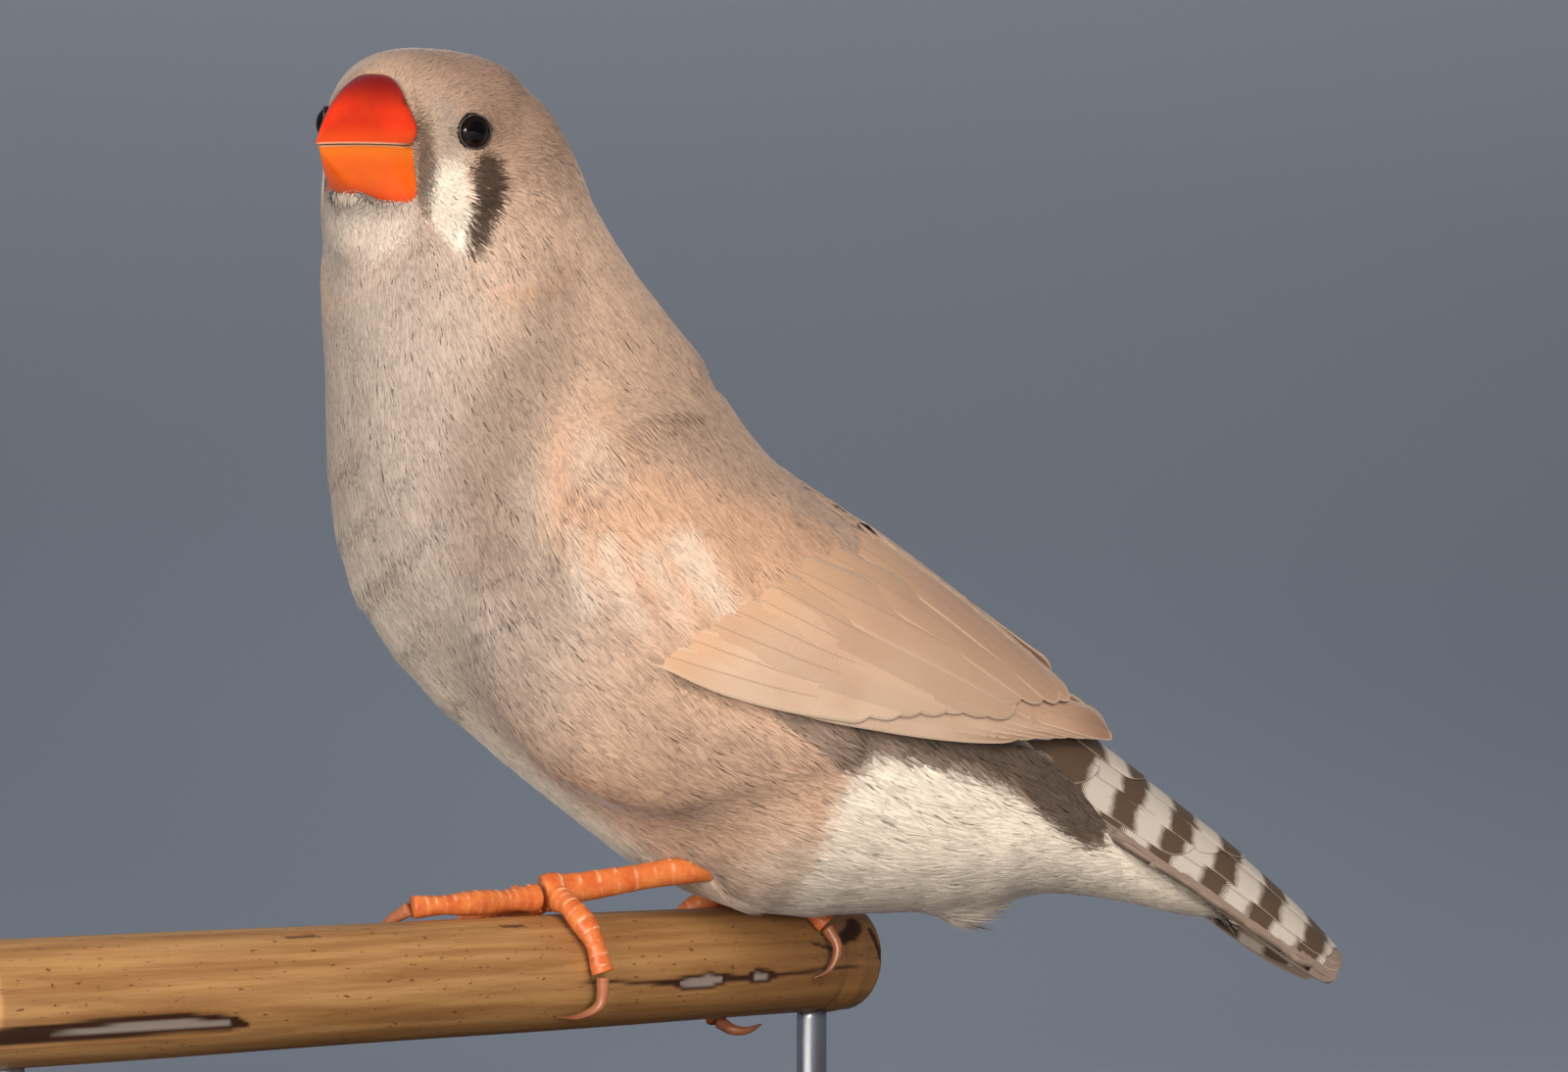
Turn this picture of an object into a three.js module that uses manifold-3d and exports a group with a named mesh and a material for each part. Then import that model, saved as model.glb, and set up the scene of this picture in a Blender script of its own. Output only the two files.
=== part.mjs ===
// Zebra finch hen, life size, gripping a cut length of cane that two short rods hold over a flat base.
// Units are millimetres and +Z is up. The bird faces -X, and its left side is towards -Y.
// The origin is the centre of the base's underside.

import * as THREE from "three";
import { mergeVertices } from "three/addons/utils/BufferGeometryUtils.js";
import Module from "manifold-3d";

const wasm = await Module();
wasm.setup();

// Driving dimensions

const GAP = 0.3; // kept between nodes that meet
const WELD = 1e-4; // vertices closer than this are one
const SIMPLIFY = 0.03; // how far a finished surface may move where its triangles are thinned out

const BASE = { length: 124, width: 76, thickness: 5, corner: 9, bevel: 1 };

const PERCH = {
  radius: 4.5,
  length: 90,
  axisHeight: 20.5,
  heading: THREE.MathUtils.degToRad(36.5),
  middle: { x: -20.6, y: -4.2 },
  edge: 0.5,
  sides: 28,
};

const ROD = { radius: 1.25, fromMiddle: 41, sides: 16 };

// A feather's vane. outline is the share of its half width at each station from root to tip,
// rootDepth is how much deeper its root lies, rise how fast it lifts off, crown how far its
// edges bend down, tuck how far one edge goes under the next vane, and thinning the share of
// its thickness that it loses towards the tip.
const VANE = {
  stations: [0, 0.45, 0.82, 1],
  outline: [0.6, 1, 0.95, 0.35],
  thickness: 0.55,
  rootDepth: 0.5,
  rise: 3,
  crown: 0.12,
  tuck: 0.1,
  thinning: 0.5,
  scatter: { tipAlong: 0.015, tipAcross: 0.02, half: 0.1 },
};

// Where the bird's midplane lies, and the height that its own heights are counted from
const BIRD = { y: 10, z: PERCH.axisHeight };

// Side outline of the body from the tip of the undertail coverts to the inside of the head.
// back and belly are [x, height above the perch's axis], half is half the width there,
// and side is how far the section's middle stands off the bird's midplane.
const BODY_SECTIONS = [
  { back: [45.6, 3.5], belly: [45.3, 3.0], half: 0.5, side: 0 },
  { back: [42.3, 7.0], belly: [40.5, 3.7], half: 2.4, side: 0 },
  { back: [37.8, 11.4], belly: [34.5, 5.0], half: 4.5, side: 0 },
  { back: [32.6, 16.4], belly: [28.6, 5.4], half: 6.9, side: 0 },
  { back: [26.6, 21.6], belly: [22.6, 4.2], half: 9.4, side: 0 },
  { back: [20.0, 27.6], belly: [14.0, 3.9], half: 11.9, side: 0 },
  { back: [13.6, 33.8], belly: [5.0, 4.1], half: 13.9, side: 0 },
  { back: [8.2, 39.6], belly: [-4.0, 8.0], half: 15.1, side: 0 },
  { back: [3.9, 45.0], belly: [-12.5, 14.4], half: 15.6, side: 0 },
  { back: [0.2, 50.8], belly: [-21.0, 21.7], half: 15.6, side: 0 },
  { back: [-3.8, 55.7], belly: [-27.0, 30.0], half: 14.8, side: -0.1 },
  { back: [-7.0, 60.8], belly: [-28.9, 38.5], half: 13.4, side: -0.4 },
  { back: [-8.7, 64.6], belly: [-29.2, 46.5], half: 12.0, side: -0.9 },
  { back: [-10.2, 67.2], belly: [-29.6, 53.0], half: 9.6, side: -1 },
  { back: [-12.2, 69.9], belly: [-29.4, 57.5], half: 4.8, side: -0.6 },
  { back: [-15.6, 72.0], belly: [-27.0, 62.0], half: 2.2, side: -0.6 },
];
const BODY = { sides: 30, rings: 28 };

// The head, turned to the bird's left, with its origin midway between the eyes
const HEAD = {
  x: -23.3,
  side: -3.9,
  z: 66.65,
  turn: THREE.MathUtils.degToRad(56),
  nod: THREE.MathUtils.degToRad(4),
  tilt: THREE.MathUtils.degToRad(-6),
  front: 6.9,
  rear: 13.4,
  half: 9.2,
  taper: 0.5,
  taperReach: 7,
  crown: 6.3,
  jaw: 13,
  fullness: 0.7,
  slope: 0.16,
  columns: 28,
  rows: 18,
};

const EYE = {
  ahead: -0.6,
  up: 0,
  out: 5.65,
  radius: 1.5,
  forward: THREE.MathUtils.degToRad(30),
  backCut: 0.2,
  sides: 15,
  steps: 5,
  lidRadius: 1.35,
  lidThickness: 0.24,
  lidClear: 0.05,
};

const BILL = {
  base: 4.6,
  tip: 13.1,
  half: 3.85,
  gape: -1.5,
  droop: 0.5,
  narrowing: 1.25,
  tipHalf: 0.12,
  tipDepth: 0.15,
  steps: 9,
  sides: 8,
  upper: { depth: 5.2, roundness: 1.1, taper: 1.7, short: 0 },
  lower: { depth: 4.3, roundness: 0.4, taper: 1.5, short: 0.5 },
};
const NOSTRIL = { radius: 0.42, ahead: 5.5, out: 2.1, up: 2.4 };

// Heights above the perch's axis of the cuts that part the flesh
const CUTS = {
  headNeck: { at: [-19, 57], normal: [-0.32, 0.95] },
  neckTorso: { at: [-17, 44], normal: [-0.45, 0.89] },
  torsoRump: { at: [24, 16], normal: [-0.86, 0.5] },
};

// The folded wing's upper and lower edges, from the shoulder to the tip, as
// [x, distance out from the midplane, height above the perch's axis]
const WING = {
  upper: [
    [-8.2, 11.6, 46.8],
    [-1, 9, 46.4],
    [7.5, 5.6, 39.8],
    [15.7, 3.8, 34],
    [24, 2.8, 27.7],
    [30.4, 2.3, 22.3],
    [34.6, 2.6, 18.6],
  ],
  lower: [
    [-13.8, 15.2, 42.4],
    [-13.8, 16.6, 33],
    [-7.5, 17.2, 25.6],
    [2.8, 16.2, 21.6],
    [14.4, 13.4, 19.8],
    [25, 8.8, 18.8],
    [34.6, 3.2, 18.1],
  ],
  bulge: 4.2,
  bulgeStart: 0.15,
  outwardRise: 0.45,
  thickness: 0.9,
  tipThinning: 0.6,
  edgeShare: 0.15,
  depth: 4,
  tipDepth: 0.6,
  thinning: 1.5,
  columns: 7,
  rings: 11,
  end: 0.9,
};

// Rows of wing feathers, from the wing's lower edge upwards. Each row's feathers are spread
// evenly between its first and last [u, v] roots and tips, each one over the one before it.
const WING_ROWS = [
  {
    count: 5,
    root: [[0.5, 0.95], [0.5, 0.6]],
    tip: [[0.88, 0.95], [1.0, 0.5]],
    half: [1.6, 2.0],
    lift: [0.1, 0.45],
  },
  {
    count: 5,
    root: [[0.3, 0.93], [0.3, 0.5]],
    tip: [[0.62, 0.93], [0.8, 0.62]],
    half: [1.8, 2.7],
    lift: [0.4, 0.85],
  },
  {
    count: 3,
    root: [[0.42, 0.48], [0.46, 0.16]],
    tip: [[0.8, 0.5], [0.88, 0.22]],
    half: [2.7, 2.2],
    lift: [0.95, 1.15],
  },
  {
    count: 6,
    root: [[0.14, 0.88], [0.3, 0.22]],
    tip: [[0.36, 0.9], [0.52, 0.26]],
    half: [1.9, 2.3],
    lift: [0.8, 1.3],
  },
  {
    count: 5,
    root: [[0.06, 0.76], [0.16, 0.26]],
    tip: [[0.2, 0.8], [0.36, 0.3]],
    half: [2.0, 2.3],
    lift: [1.0, 1.4],
  },
];
const RIGHT_WING_RISE = 2; // the right wing lies over the left one along the back

// Starts of the streams of small random differences between feathers
const SEED = { leftWing: 977, rightWing: 4021, tail: 311 };

const TAIL = {
  ridge: [[27, 22.6], [35, 16.6], [41, 12.2], [46, 8.4], [51.7, 3.4], [54.8, 0.2]],
  edge: [[24.5, 15.8], [31, 12.4], [36, 9.4], [42, 5.8], [49.6, 0.7], [54.2, -1.9]],
  half: [6.4, 5.6, 5.0, 4.6, 4.0, 2.6],
  thickness: [2.4, 1.9, 1.5, 1.2, 0.9, 0.6],
  edgeThickness: 0.6,
  columns: 7,
  rings: 7,
  end: 0.86,
};

// Half of the tail's feathers, from the outermost inwards: the long ones, then the barred
// coverts that lie over them
const TAIL_ROWS = [
  {
    count: 6,
    root: [[0.3, 0.8], [0.3, 0.1]],
    tip: [[0.97, 0.84], [1.0, 0.14]],
    half: [1.3, 1.6],
    lift: [0.02, 0.3],
  },
  {
    count: 3,
    root: [[0.12, 0.74], [0.12, 0.14]],
    tip: [[0.66, 0.66], [0.92, 0.16]],
    half: [1.9, 2.0],
    lift: [0.5, 0.65],
  },
];

// Legs. A perch station is counted along the perch from its middle, and an angle from the
// perch's top towards the bird's left rear, in degrees.
const LEG = {
  hubRadius: 1.55,
  hubHeight: 1.75,
  hubFade: 9,
  shank: 0.95,
  shankDepth: 1.1,
  sides: 10,
  steps: 5,
};
const LEFT_LEG = { station: 10.9, heel: [3.2, -4.8, 8.5] };
const RIGHT_LEG = { station: 35.2, heel: [17.5, 6.0, 13.5] };

const TOE = { root: 0.95, tip: 0.78, pad: 0.07, pads: 2, sides: 8, rings: 8 };
const CLAW = { root: 0.5, tip: 0.12, flat: 0.8, sides: 6, rings: 6 };

// Each toe and claw as [station past the leg's own, angle, height of its axis over the bark]
const TOES = {
  left: {
    hind: {
      toe: [[0.2, 8, 1.3], [-0.2, 30, 1.2], [0, 60, 1.1], [0.4, 88, 1.1]],
      claw: [[0.4, 94, 1.1], [0.2, 112, 1.4], [-1.1, 125, 0.9], [-2.7, 130, 0.35]],
    },
    inner: {
      toe: [[0.4, -14, 1.2], [0.3, -45, 1.15], [-0.6, -78, 1.1], [-1.8, -106, 1.1]],
      claw: [[-2.0, -112, 1.1], [-2.2, -128, 1.3], [-2.4, -142, 0.4]],
    },
    middle: {
      toe: [[-1.2, -16, 1.5], [-3.4, -38, 1.3], [-6.0, -72, 1.15], [-8.6, -112, 1.1]],
      claw: [[-9.0, -118, 1.1], [-9.8, -134, 1.3], [-10.4, -148, 0.4]],
    },
    outer: {
      toe: [[-1.6, 2, 1.3], [-5.0, -2, 1.1], [-9.6, -6, 1.0], [-12.6, -18, 1.1]],
      claw: [[-12.8, -26, 1.1], [-13.1, -50, 1.3], [-13.1, -72, 0.4]],
    },
  },
  right: {
    hind: {
      toe: [[0.4, 8, 1.3], [0.8, 22, 1.2], [1.6, 42, 1.1], [2.4, 58, 1.1]],
      claw: [[2.4, 64, 1.1], [2.5, 80, 1.5], [1.9, 96, 1.1], [0.9, 106, 0.35]],
    },
    inner: {
      toe: [[-1.2, -6, 1.2], [-3.2, -26, 1.1], [-5.0, -52, 1.1], [-6.4, -80, 1.1]],
      claw: [[-6.7, -86, 1.1], [-7.4, -102, 1.3], [-7.8, -116, 0.4]],
    },
    middle: {
      toe: [[-0.4, -18, 1.4], [-0.9, -62, 1.15], [-1.6, -106, 1.1], [-2.4, -148, 1.1]],
      claw: [[-2.5, -154, 1.1], [-2.2, -166, 1.2], [-1.5, -176, 1.1], [-0.6, -184, 0.6]],
    },
    outer: {
      toe: [[1.0, -12, 1.3], [1.8, -42, 1.15], [2.8, -76, 1.1], [3.6, -108, 1.1]],
      claw: [[3.8, -114, 1.1], [4.2, -130, 1.3], [4.4, -144, 0.4]],
    },
  },
};

// Finishes

const finish = (color, roughness, metalness = 0) =>
  new THREE.MeshStandardMaterial({ color, roughness, metalness });
const FINISH = {
  headFeather: finish(0xb09c8c, 0.85),
  throatFeather: finish(0xaaa09a, 0.85),
  bodyFeather: finish(0xb59f8c, 0.85),
  ventFeather: finish(0xe0d6cb, 0.85),
  wingFeather: finish(0xc9a587, 0.75),
  tailFeather: finish(0x86705e, 0.75),
  upperBill: finish(0xd8341c, 0.35),
  lowerBill: finish(0xe8621c, 0.35),
  eye: finish(0x0c0a0a, 0.08),
  leg: finish(0xd9713a, 0.55),
  claw: finish(0xa9683f, 0.4),
  cane: finish(0xa9783f, 0.6),
  baseWood: finish(0x4a3426, 0.5),
  steel: finish(0xb8b8ba, 0.3, 1),
};

// Geometry helpers

const vector = (x, y, z) => new THREE.Vector3(x, y, z);

// A solid from a closed three.js geometry, facing outwards
function solidOf(geometry) {
  const loose = geometry.index ? geometry.toNonIndexed() : geometry;
  const bare = new THREE.BufferGeometry();
  bare.setAttribute("position", loose.getAttribute("position"));
  const merged = mergeVertices(bare, WELD);
  const triVerts = new Uint32Array(merged.index.array);
  const vertProperties = new Float32Array(merged.attributes.position.array);
  const made = new wasm.Manifold(new wasm.Mesh({ numProp: 3, vertProperties, triVerts }));
  if (made.volume() > 0) return made;
  for (let i = 0; i < triVerts.length; i += 3) {
    [triVerts[i + 1], triVerts[i + 2]] = [triVerts[i + 2], triVerts[i + 1]];
  }
  return new wasm.Manifold(new wasm.Mesh({ numProp: 3, vertProperties, triVerts }));
}

// The largest closed surface of a solid
function largest(solid) {
  const pieces = solid.decompose();
  return pieces.reduce((best, piece) => (piece.volume() > best.volume() ? piece : best));
}

// A named mesh from a solid
function meshOf(name, solid, material) {
  const { vertProperties, triVerts, numProp } = largest(solid.simplify(SIMPLIFY)).getMesh();
  const count = vertProperties.length / numProp;
  const position = new Float32Array(count * 3);
  for (let i = 0; i < count; i += 1) {
    position.set(vertProperties.subarray(i * numProp, i * numProp + 3), i * 3);
  }
  const geometry = new THREE.BufferGeometry();
  geometry.setAttribute("position", new THREE.BufferAttribute(position, 3));
  geometry.setIndex(new THREE.BufferAttribute(new Uint32Array(triVerts), 1));
  geometry.computeVertexNormals();
  const mesh = new THREE.Mesh(geometry, material);
  mesh.name = name;
  return mesh;
}

// A closed solid through rings of points, all of one count, with a fan over each end
function loft(rings) {
  const sides = rings[0].length;
  const points = rings.flat();
  const triangles = [];
  for (let k = 0; k + 1 < rings.length; k += 1) {
    for (let i = 0; i < sides; i += 1) {
      const j = (i + 1) % sides;
      const [a, b, c, d] = [k * sides + i, k * sides + j, (k + 1) * sides + j, (k + 1) * sides + i];
      triangles.push(a, b, c, a, c, d);
    }
  }
  const last = (rings.length - 1) * sides;
  for (const [ring, start, turn] of [[rings[0], 0, 1], [rings.at(-1), last, -1]]) {
    const centre = ring.reduce((sum, p) => sum.add(p), vector(0, 0, 0)).divideScalar(sides);
    const hub = points.push(centre) - 1;
    for (let i = 0; i < sides; i += 1) {
      const [a, b] = [start + i, start + ((i + 1) % sides)];
      triangles.push(hub, ...(turn > 0 ? [b, a] : [a, b]));
    }
  }
  const geometry = new THREE.BufferGeometry().setFromPoints(points);
  geometry.setIndex(triangles);
  return solidOf(geometry);
}

// A thin closed solid between two grids of points, both faces parted into the same triangles
function slab(upper, lower) {
  const [rows, columns] = [upper.length, upper[0].length];
  const points = [...upper.flat(), ...lower.flat()];
  const under = rows * columns;
  const triangles = [];
  for (let k = 0; k + 1 < rows; k += 1) {
    for (let i = 0; i + 1 < columns; i += 1) {
      const a = k * columns + i;
      const [b, c, d] = [a + 1, a + columns + 1, a + columns];
      triangles.push(a, b, c, a, c, d);
      triangles.push(under + a, under + c, under + b, under + a, under + d, under + c);
    }
  }
  const rim = [];
  for (let i = 0; i < columns - 1; i += 1) rim.push(i);
  for (let k = 0; k < rows - 1; k += 1) rim.push(k * columns + columns - 1);
  for (let i = columns - 1; i > 0; i -= 1) rim.push((rows - 1) * columns + i);
  for (let k = rows - 1; k > 0; k -= 1) rim.push(k * columns);
  rim.forEach((a, n) => {
    const b = rim[(n + 1) % rim.length];
    triangles.push(a, under + a, under + b, a, under + b, b);
  });
  const geometry = new THREE.BufferGeometry().setFromPoints(points);
  geometry.setIndex(triangles);
  return solidOf(geometry);
}

// One feather's vane over a face: root and tip are [u, v] on the face, breadth gives the face's
// own width in millimetres at u, and the vane stands lift over the face at its middle
function vane(face, breadth, { root, tip, half, lift, tuck }) {
  const grid = (drop) =>
    VANE.stations.map((t, k) => {
      const u = THREE.MathUtils.lerp(root[0], tip[0], t);
      const v = THREE.MathUtils.lerp(root[1], tip[1], t);
      const reach = (half * VANE.outline[k]) / breadth(u);
      const deep = drop * VANE.thickness * (1 - VANE.thinning * t ** 3);
      const sunk = t === 0 ? VANE.rootDepth : 0;
      return [-1, 0, 1].map((across) => {
        const bow = lift * Math.min(1, VANE.rise * t) - VANE.crown * across * across;
        return face(u, v + across * reach, bow - tuck * across - deep - sunk);
      });
    });
  return slab(grid(0), grid(1));
}

// A round bar along points, with its radius at each, flattened by the share given in flat
function bar(points, radii, sides, flat = 1, up = vector(0, 0, 1)) {
  const rings = points.map((point, k) => {
    const before = points[Math.max(k - 1, 0)];
    const after = points[Math.min(k + 1, points.length - 1)];
    const ahead = after.clone().sub(before).normalize();
    const across = ahead.clone().cross(up).normalize();
    const over = across.clone().cross(ahead);
    return Array.from({ length: sides }, (_, i) => {
      const angle = (2 * Math.PI * i) / sides;
      return point
        .clone()
        .addScaledVector(across, Math.cos(angle) * radii[k] * flat)
        .addScaledVector(over, Math.sin(angle) * radii[k]);
    });
  });
  return loft(rings);
}

// count points along a smooth curve through the given ones
function smooth(points, count) {
  const curve = new THREE.CatmullRomCurve3(points.map((p) => vector(...p)));
  return Array.from({ length: count }, (_, i) => curve.getPoint(i / (count - 1)));
}

// count values along a smooth curve through the given numbers
function smoothNumbers(values, count) {
  return smooth(values.map((value, i) => [i, value, 0]), count).map((p) => p.y);
}

// A point of the bird from its own x, side from the midplane (left is negative) and height
const birdPoint = (x, side, z) => vector(x, BIRD.y + side, BIRD.z + z);

// Stand and perch

function standBase() {
  const { length, width, thickness, corner, bevel } = BASE;
  const [a, b] = [length / 2 - bevel, width / 2 - bevel];
  const radius = corner - bevel;
  const outline = new THREE.Shape();
  outline.absarc(a - radius, b - radius, radius, 0, Math.PI / 2);
  outline.absarc(-a + radius, b - radius, radius, Math.PI / 2, Math.PI);
  outline.absarc(-a + radius, -b + radius, radius, Math.PI, 1.5 * Math.PI);
  outline.absarc(a - radius, -b + radius, radius, 1.5 * Math.PI, 2 * Math.PI);
  const geometry = new THREE.ExtrudeGeometry(outline, {
    depth: thickness - 2 * bevel,
    bevelThickness: bevel,
    bevelSize: bevel,
    bevelSegments: 1,
    curveSegments: 4,
  });
  geometry.translate(0, 0, bevel);
  return solidOf(geometry);
}

const PERCH_ALONG = vector(Math.cos(PERCH.heading), Math.sin(PERCH.heading), 0);
const PERCH_NEAR = vector(Math.sin(PERCH.heading), -Math.cos(PERCH.heading), 0);

// A point by its station along the perch, angle in degrees and height over the bark
function onPerch(station, angle, height) {
  const turn = THREE.MathUtils.degToRad(angle);
  const radius = PERCH.radius + height;
  return vector(PERCH.middle.x, PERCH.middle.y, PERCH.axisHeight)
    .addScaledVector(PERCH_ALONG, station)
    .addScaledVector(PERCH_NEAR, radius * Math.sin(turn))
    .add(vector(0, 0, radius * Math.cos(turn)));
}

// The cane, its cut ends' rims eased, grown all round
function perch(grow = 0) {
  const { radius, length, edge, sides } = PERCH;
  const end = length / 2 + grow;
  const outer = radius + grow;
  const profile = [[outer, end - edge], [outer - edge, end], [0, end]];
  const mirrored = profile.map(([r, y]) => [r, -y]).reverse();
  const outline = [...mirrored, ...profile].map(([r, y]) => new THREE.Vector2(r, y));
  const geometry = new THREE.LatheGeometry(outline, sides);
  geometry.rotateZ(-Math.PI / 2);
  geometry.rotateZ(PERCH.heading);
  geometry.translate(PERCH.middle.x, PERCH.middle.y, PERCH.axisHeight);
  return solidOf(geometry);
}

function rod(side) {
  const foot = onPerch(side * ROD.fromMiddle, 0, 0);
  const bottom = BASE.thickness + GAP;
  const height = PERCH.axisHeight - bottom;
  const geometry = new THREE.CylinderGeometry(ROD.radius, ROD.radius, height, ROD.sides);
  geometry.rotateX(Math.PI / 2);
  geometry.translate(foot.x, foot.y, bottom + height / 2);
  return solidOf(geometry).subtract(perch(GAP));
}

// Body

// The body's form, grown all round
function bodyForm(grow = 0) {
  const count = BODY.rings;
  const back = smooth(BODY_SECTIONS.map((s) => [s.back[0], 0, s.back[1]]), count);
  const belly = smooth(BODY_SECTIONS.map((s) => [s.belly[0], 0, s.belly[1]]), count);
  const half = smoothNumbers(BODY_SECTIONS.map((s) => s.half), count);
  const side = smoothNumbers(BODY_SECTIONS.map((s) => s.side), count);
  const rings = back.map((top, k) => {
    const middle = top.clone().lerp(belly[k], 0.5);
    const rise = top.clone().sub(middle);
    rise.setLength(rise.length() + grow);
    return Array.from({ length: BODY.sides }, (_, i) => {
      const angle = (2 * Math.PI * i) / BODY.sides;
      const out = side[k] + Math.sin(angle) * (half[k] + grow);
      const point = middle.clone().addScaledVector(rise, Math.cos(angle));
      return birdPoint(point.x, out, point.z);
    });
  });
  return loft(rings);
}

// Head

const HEAD_PLACE = new THREE.Matrix4()
  .makeTranslation(HEAD.x, BIRD.y + HEAD.side, BIRD.z + HEAD.z)
  .multiply(new THREE.Matrix4().makeRotationZ(Math.PI + HEAD.turn))
  .multiply(new THREE.Matrix4().makeRotationY(HEAD.nod))
  .multiply(new THREE.Matrix4().makeRotationX(HEAD.tilt));

// A point of the head from its distances ahead of, left of and above the point between the eyes
const headPoint = (ahead, left, up) => vector(ahead, left, up).applyMatrix4(HEAD_PLACE);

// The feathered head without its sockets, grown all round
function headForm(grow = 0) {
  const geometry = new THREE.SphereGeometry(1, HEAD.columns, HEAD.rows);
  geometry.rotateX(Math.PI / 2);
  const position = geometry.getAttribute("position");
  for (let i = 0; i < position.count; i += 1) {
    const c = position.getZ(i);
    const full = 1 + (c < 0 ? HEAD.fullness * c * c : 0);
    const [a, b] = [position.getX(i) * full, position.getY(i) * full];
    const ahead = a * ((a > 0 ? HEAD.front : HEAD.rear) + grow);
    const face = THREE.MathUtils.smoothstep(ahead, -HEAD.taperReach, HEAD.taperReach);
    const left = b * (HEAD.half + grow) * (1 - HEAD.taper * face);
    const up = c * ((c > 0 ? HEAD.crown : HEAD.jaw) + grow) - HEAD.slope * ahead;
    const point = headPoint(ahead, left, up);
    position.setXYZ(i, point.x, point.y, point.z);
  }
  return solidOf(geometry);
}

// Moves a solid from the head's own frame to the part's
const inHead = (solid) => solid.transform(HEAD_PLACE.elements);

// Turns a form made along +Y to the eye's own direction on one side of the head, and places it
function towardsSide(geometry, side) {
  if (side < 0) geometry.rotateX(Math.PI);
  geometry.rotateZ(-side * EYE.forward);
  return geometry.translate(EYE.ahead, side * EYE.out, EYE.up);
}

// The eyeball's front, a dome with a flat back inside its socket
function eye(side, grow = 0) {
  const radius = EYE.radius + grow;
  const cut = EYE.radius * EYE.backCut - grow;
  const from = Math.acos(cut / radius);
  const arc = Array.from({ length: EYE.steps + 1 }, (_, i) => {
    const angle = from * (1 - i / EYE.steps);
    return new THREE.Vector2(radius * Math.sin(angle), radius * Math.cos(angle));
  });
  arc[EYE.steps].x = 0;
  const geometry = new THREE.LatheGeometry([new THREE.Vector2(0, cut), ...arc], EYE.sides);
  return inHead(solidOf(towardsSide(geometry, side)));
}

// The rim of the lids round one eye
function lids(side) {
  const geometry = new THREE.TorusGeometry(EYE.lidRadius, EYE.lidThickness, 5, 16);
  geometry.rotateX(Math.PI / 2);
  const reach = EYE.radius + GAP + EYE.lidClear;
  geometry.translate(0, Math.sqrt(reach ** 2 - EYE.lidRadius ** 2), 0);
  return inHead(solidOf(towardsSide(geometry, side)));
}

// One half of the bill: up is 1 for the upper mandible and -1 for the lower one
function mandible(up, grow = 0) {
  const { depth, roundness, taper, short } = up > 0 ? BILL.upper : BILL.lower;
  const rings = Array.from({ length: BILL.steps + 1 }, (_, k) => {
    const t = k / BILL.steps;
    const ahead = THREE.MathUtils.lerp(BILL.base, BILL.tip - short, t) - (k ? 0 : grow);
    const left = Math.sqrt(Math.max(1 - t ** taper, 0));
    const width = Math.max(BILL.half * (1 - t ** BILL.narrowing), BILL.tipHalf) + grow;
    const height = Math.max(depth * left, BILL.tipDepth) + 2 * grow;
    const line = BILL.gape - BILL.droop * t ** 2 + (up * (GAP - 2 * grow)) / 2;
    return Array.from({ length: BILL.sides + 1 }, (_unused, i) => {
      const angle = (Math.PI * i) / BILL.sides;
      const rise = Math.sin(angle) ** roundness;
      return headPoint(ahead, Math.cos(angle) * width, line + up * height * rise);
    });
  });
  return loft(rings);
}

// The two nostrils, at the base of the upper mandible
function nostrils() {
  const dents = [1, -1].map((side) => {
    const geometry = new THREE.SphereGeometry(NOSTRIL.radius, 8, 6);
    geometry.translate(NOSTRIL.ahead, side * NOSTRIL.out, NOSTRIL.up);
    return inHead(solidOf(geometry));
  });
  return wasm.Manifold.union(dents);
}

// Legs and feet

// A point of one foot
const footPoint = (leg, [station, angle, height]) =>
  onPerch(leg.station + station, angle, height + GAP);

function shank(leg, grow = 0) {
  const foot = onPerch(leg.station, 0, LEG.hubHeight);
  const heel = birdPoint(...leg.heel);
  const shares = Array.from({ length: LEG.steps + 1 }, (_, i) => i / LEG.steps);
  const points = shares.map((share) => foot.clone().lerp(heel, share));
  const radii = shares.map((share) => {
    const spread = (LEG.hubRadius - LEG.shankDepth) * Math.exp(-share * LEG.hubFade);
    return LEG.shankDepth + spread + grow;
  });
  const knob = new THREE.SphereGeometry(LEG.hubRadius + grow, LEG.sides, LEG.steps + 1);
  knob.translate(foot.x, foot.y, foot.z);
  return bar(points, radii, LEG.sides, LEG.shank / LEG.shankDepth).add(solidOf(knob));
}

function toe(leg, places, grow = 0) {
  const points = smooth(places.map((place) => footPoint(leg, place).toArray()), TOE.rings);
  const radii = points.map((_, i) => {
    const t = i / (TOE.rings - 1);
    const taper = THREE.MathUtils.lerp(TOE.root, TOE.tip, t);
    return taper * (1 + TOE.pad * Math.cos(2 * Math.PI * TOE.pads * t)) + grow;
  });
  return bar(points, radii, TOE.sides, 1, PERCH_ALONG);
}

function claw(leg, places) {
  const points = smooth(places.map((place) => footPoint(leg, place).toArray()), CLAW.rings);
  const radii = points.map((_, i) => THREE.MathUtils.lerp(CLAW.root, CLAW.tip, i / (CLAW.rings - 1)));
  return bar(points, radii, CLAW.sides, CLAW.flat, PERCH_ALONG);
}

// Wings and tail

// A function that gives a point of a wing's outer face: u runs from the shoulder to the tip,
// v from the upper edge to the lower one, and out stands off the face
function wingFace(side) {
  const rise = side > 0 ? RIGHT_WING_RISE : 0;
  const edge = (rows, lift) =>
    new THREE.CatmullRomCurve3(rows.map(([x, out, z]) => birdPoint(x, side * out, z + lift)));
  const upper = edge(WING.upper, rise);
  const lower = edge(WING.lower, 0);
  return (u, v, out) => {
    const top = upper.getPoint(u);
    const bottom = lower.getPoint(u);
    const outward = vector(0, side, WING.outwardRise).normalize();
    const along = Math.sin(Math.PI * Math.min(u + WING.bulgeStart, 1));
    const swell = WING.bulge * 4 * v * (1 - v) * along;
    return top.lerp(bottom, v).addScaledVector(outward, swell + out);
  };
}

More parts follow.
